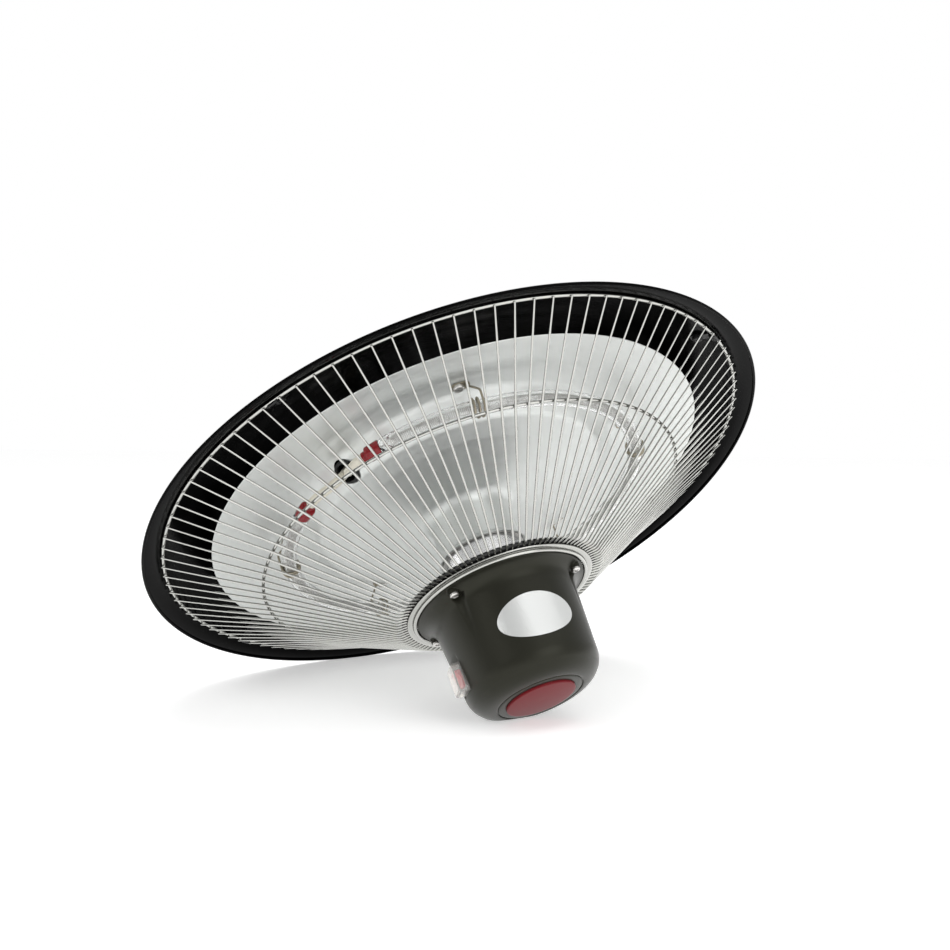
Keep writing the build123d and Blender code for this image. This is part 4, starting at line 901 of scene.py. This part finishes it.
seen.inputs["To Max"].default_value = TABLE_MIRRORED
both = tree.nodes.new("ShaderNodeAddShader")
clear = tree.nodes.new("ShaderNodeBsdfTransparent")
geometry = tree.nodes.new("ShaderNodeNewGeometry")
choose = tree.nodes.new("ShaderNodeMixShader")
for output, socket in ((path.outputs["Is Glossy Ray"], seen.inputs["Value"]),
                       (seen.outputs[0], glow.inputs["Strength"]),
                       (diffuse.outputs[0], both.inputs[0]),
                       (glow.outputs[0], both.inputs[1]),
                       (geometry.outputs["Backfacing"], choose.inputs[0]),
                       (both.outputs[0], choose.inputs[1]),
                       (clear.outputs[0], choose.inputs[2]),
                       (choose.outputs[0], tree.nodes["Material Output"].inputs[0])):
    tree.links.new(output, socket)
floor_mesh.materials.append(table_white)
print("table", table_white.name)

# %% [markdown]
# ## Light
# A white room lights everything evenly. What the metal mirrors is a wide soft light, a little
# weaker towards one side, so that round forms shade from side to side; the camera itself sees
# plain white. Three large square lamps then give the forms their soft direction.

# %% Light
ROOM_LIGHT = 0.64
SOFTBOX_FROM, SOFTBOX_TO = (-0.6, 0.3), (0.66, 0.92)
world = bpy.data.worlds.new("studio")
bpy.context.scene.world = world
world.use_nodes = True
tree = world.node_tree
background = tree.nodes["Background"]
background.inputs[0].default_value = WHITE_LIGHT
background.inputs[1].default_value = ROOM_LIGHT
camera_white = tree.nodes.new("ShaderNodeBackground")
camera_white.inputs[0].default_value = WHITE_LIGHT
direction = tree.nodes.new("ShaderNodeTexCoord")
sideways = tree.nodes.new("ShaderNodeVectorMath")
sideways.operation = "DOT_PRODUCT"
sideways.inputs[1].default_value = right
softbox = tree.nodes.new("ShaderNodeMapRange")
softbox.interpolation_type = "SMOOTHSTEP"
for label, value in zip(("From Min", "From Max", "To Min", "To Max"), SOFTBOX_FROM + SOFTBOX_TO):
    softbox.inputs[label].default_value = value
tree.links.new(direction.outputs["Generated"], sideways.inputs[0])
tree.links.new(sideways.outputs["Value"], softbox.inputs["Value"])
ray = tree.nodes.new("ShaderNodeLightPath")
bright = maths(tree, "MAXIMUM", ray.outputs["Is Camera Ray"], softbox.outputs[0])
mirrored = maths(tree, "MAXIMUM", ray.outputs["Is Glossy Ray"], ray.outputs["Is Transmission Ray"])
visible = maths(tree, "MAXIMUM", ray.outputs["Is Camera Ray"], mirrored)
mix = tree.nodes.new("ShaderNodeMixShader")
for output, socket in ((bright, camera_white.inputs[1]),
                       (visible, mix.inputs[0]),
                       (background.outputs[0], mix.inputs[1]),
                       (camera_white.outputs[0], mix.inputs[2]),
                       (mix.outputs[0], tree.nodes["World Output"].inputs[0])):
    tree.links.new(output, socket)


def soft_box(name, place_at, aim, size, power):
    """A square area lamp that faces a point."""
    lamp = bpy.data.lights.new(name, "AREA")
    lamp.shape = "RECTANGLE"
    lamp.size, lamp.size_y = size
    lamp.energy = power
    holder = bpy.data.objects.new(name, lamp)
    holder.location = place_at
    holder.rotation_euler = (aim - place_at).to_track_quat("-Z", "Y").to_euler()
    bpy.context.scene.collection.objects.link(holder)


middle = place(0, 0, -40)
soft_box("overhead", middle + up * 1.6 + right * 0.3, middle, (1.6, 1.6), 16)
soft_box("right_front", middle + right * 1.0 - ahead * 1.3 + up * 0.6, middle, (1.2, 1.2), 8)
soft_box("left_high", middle - right * 1.2 - ahead * 0.8 + up * 1.0, middle, (0.7, 0.7), 5)
print("lamps", len(bpy.data.lights))
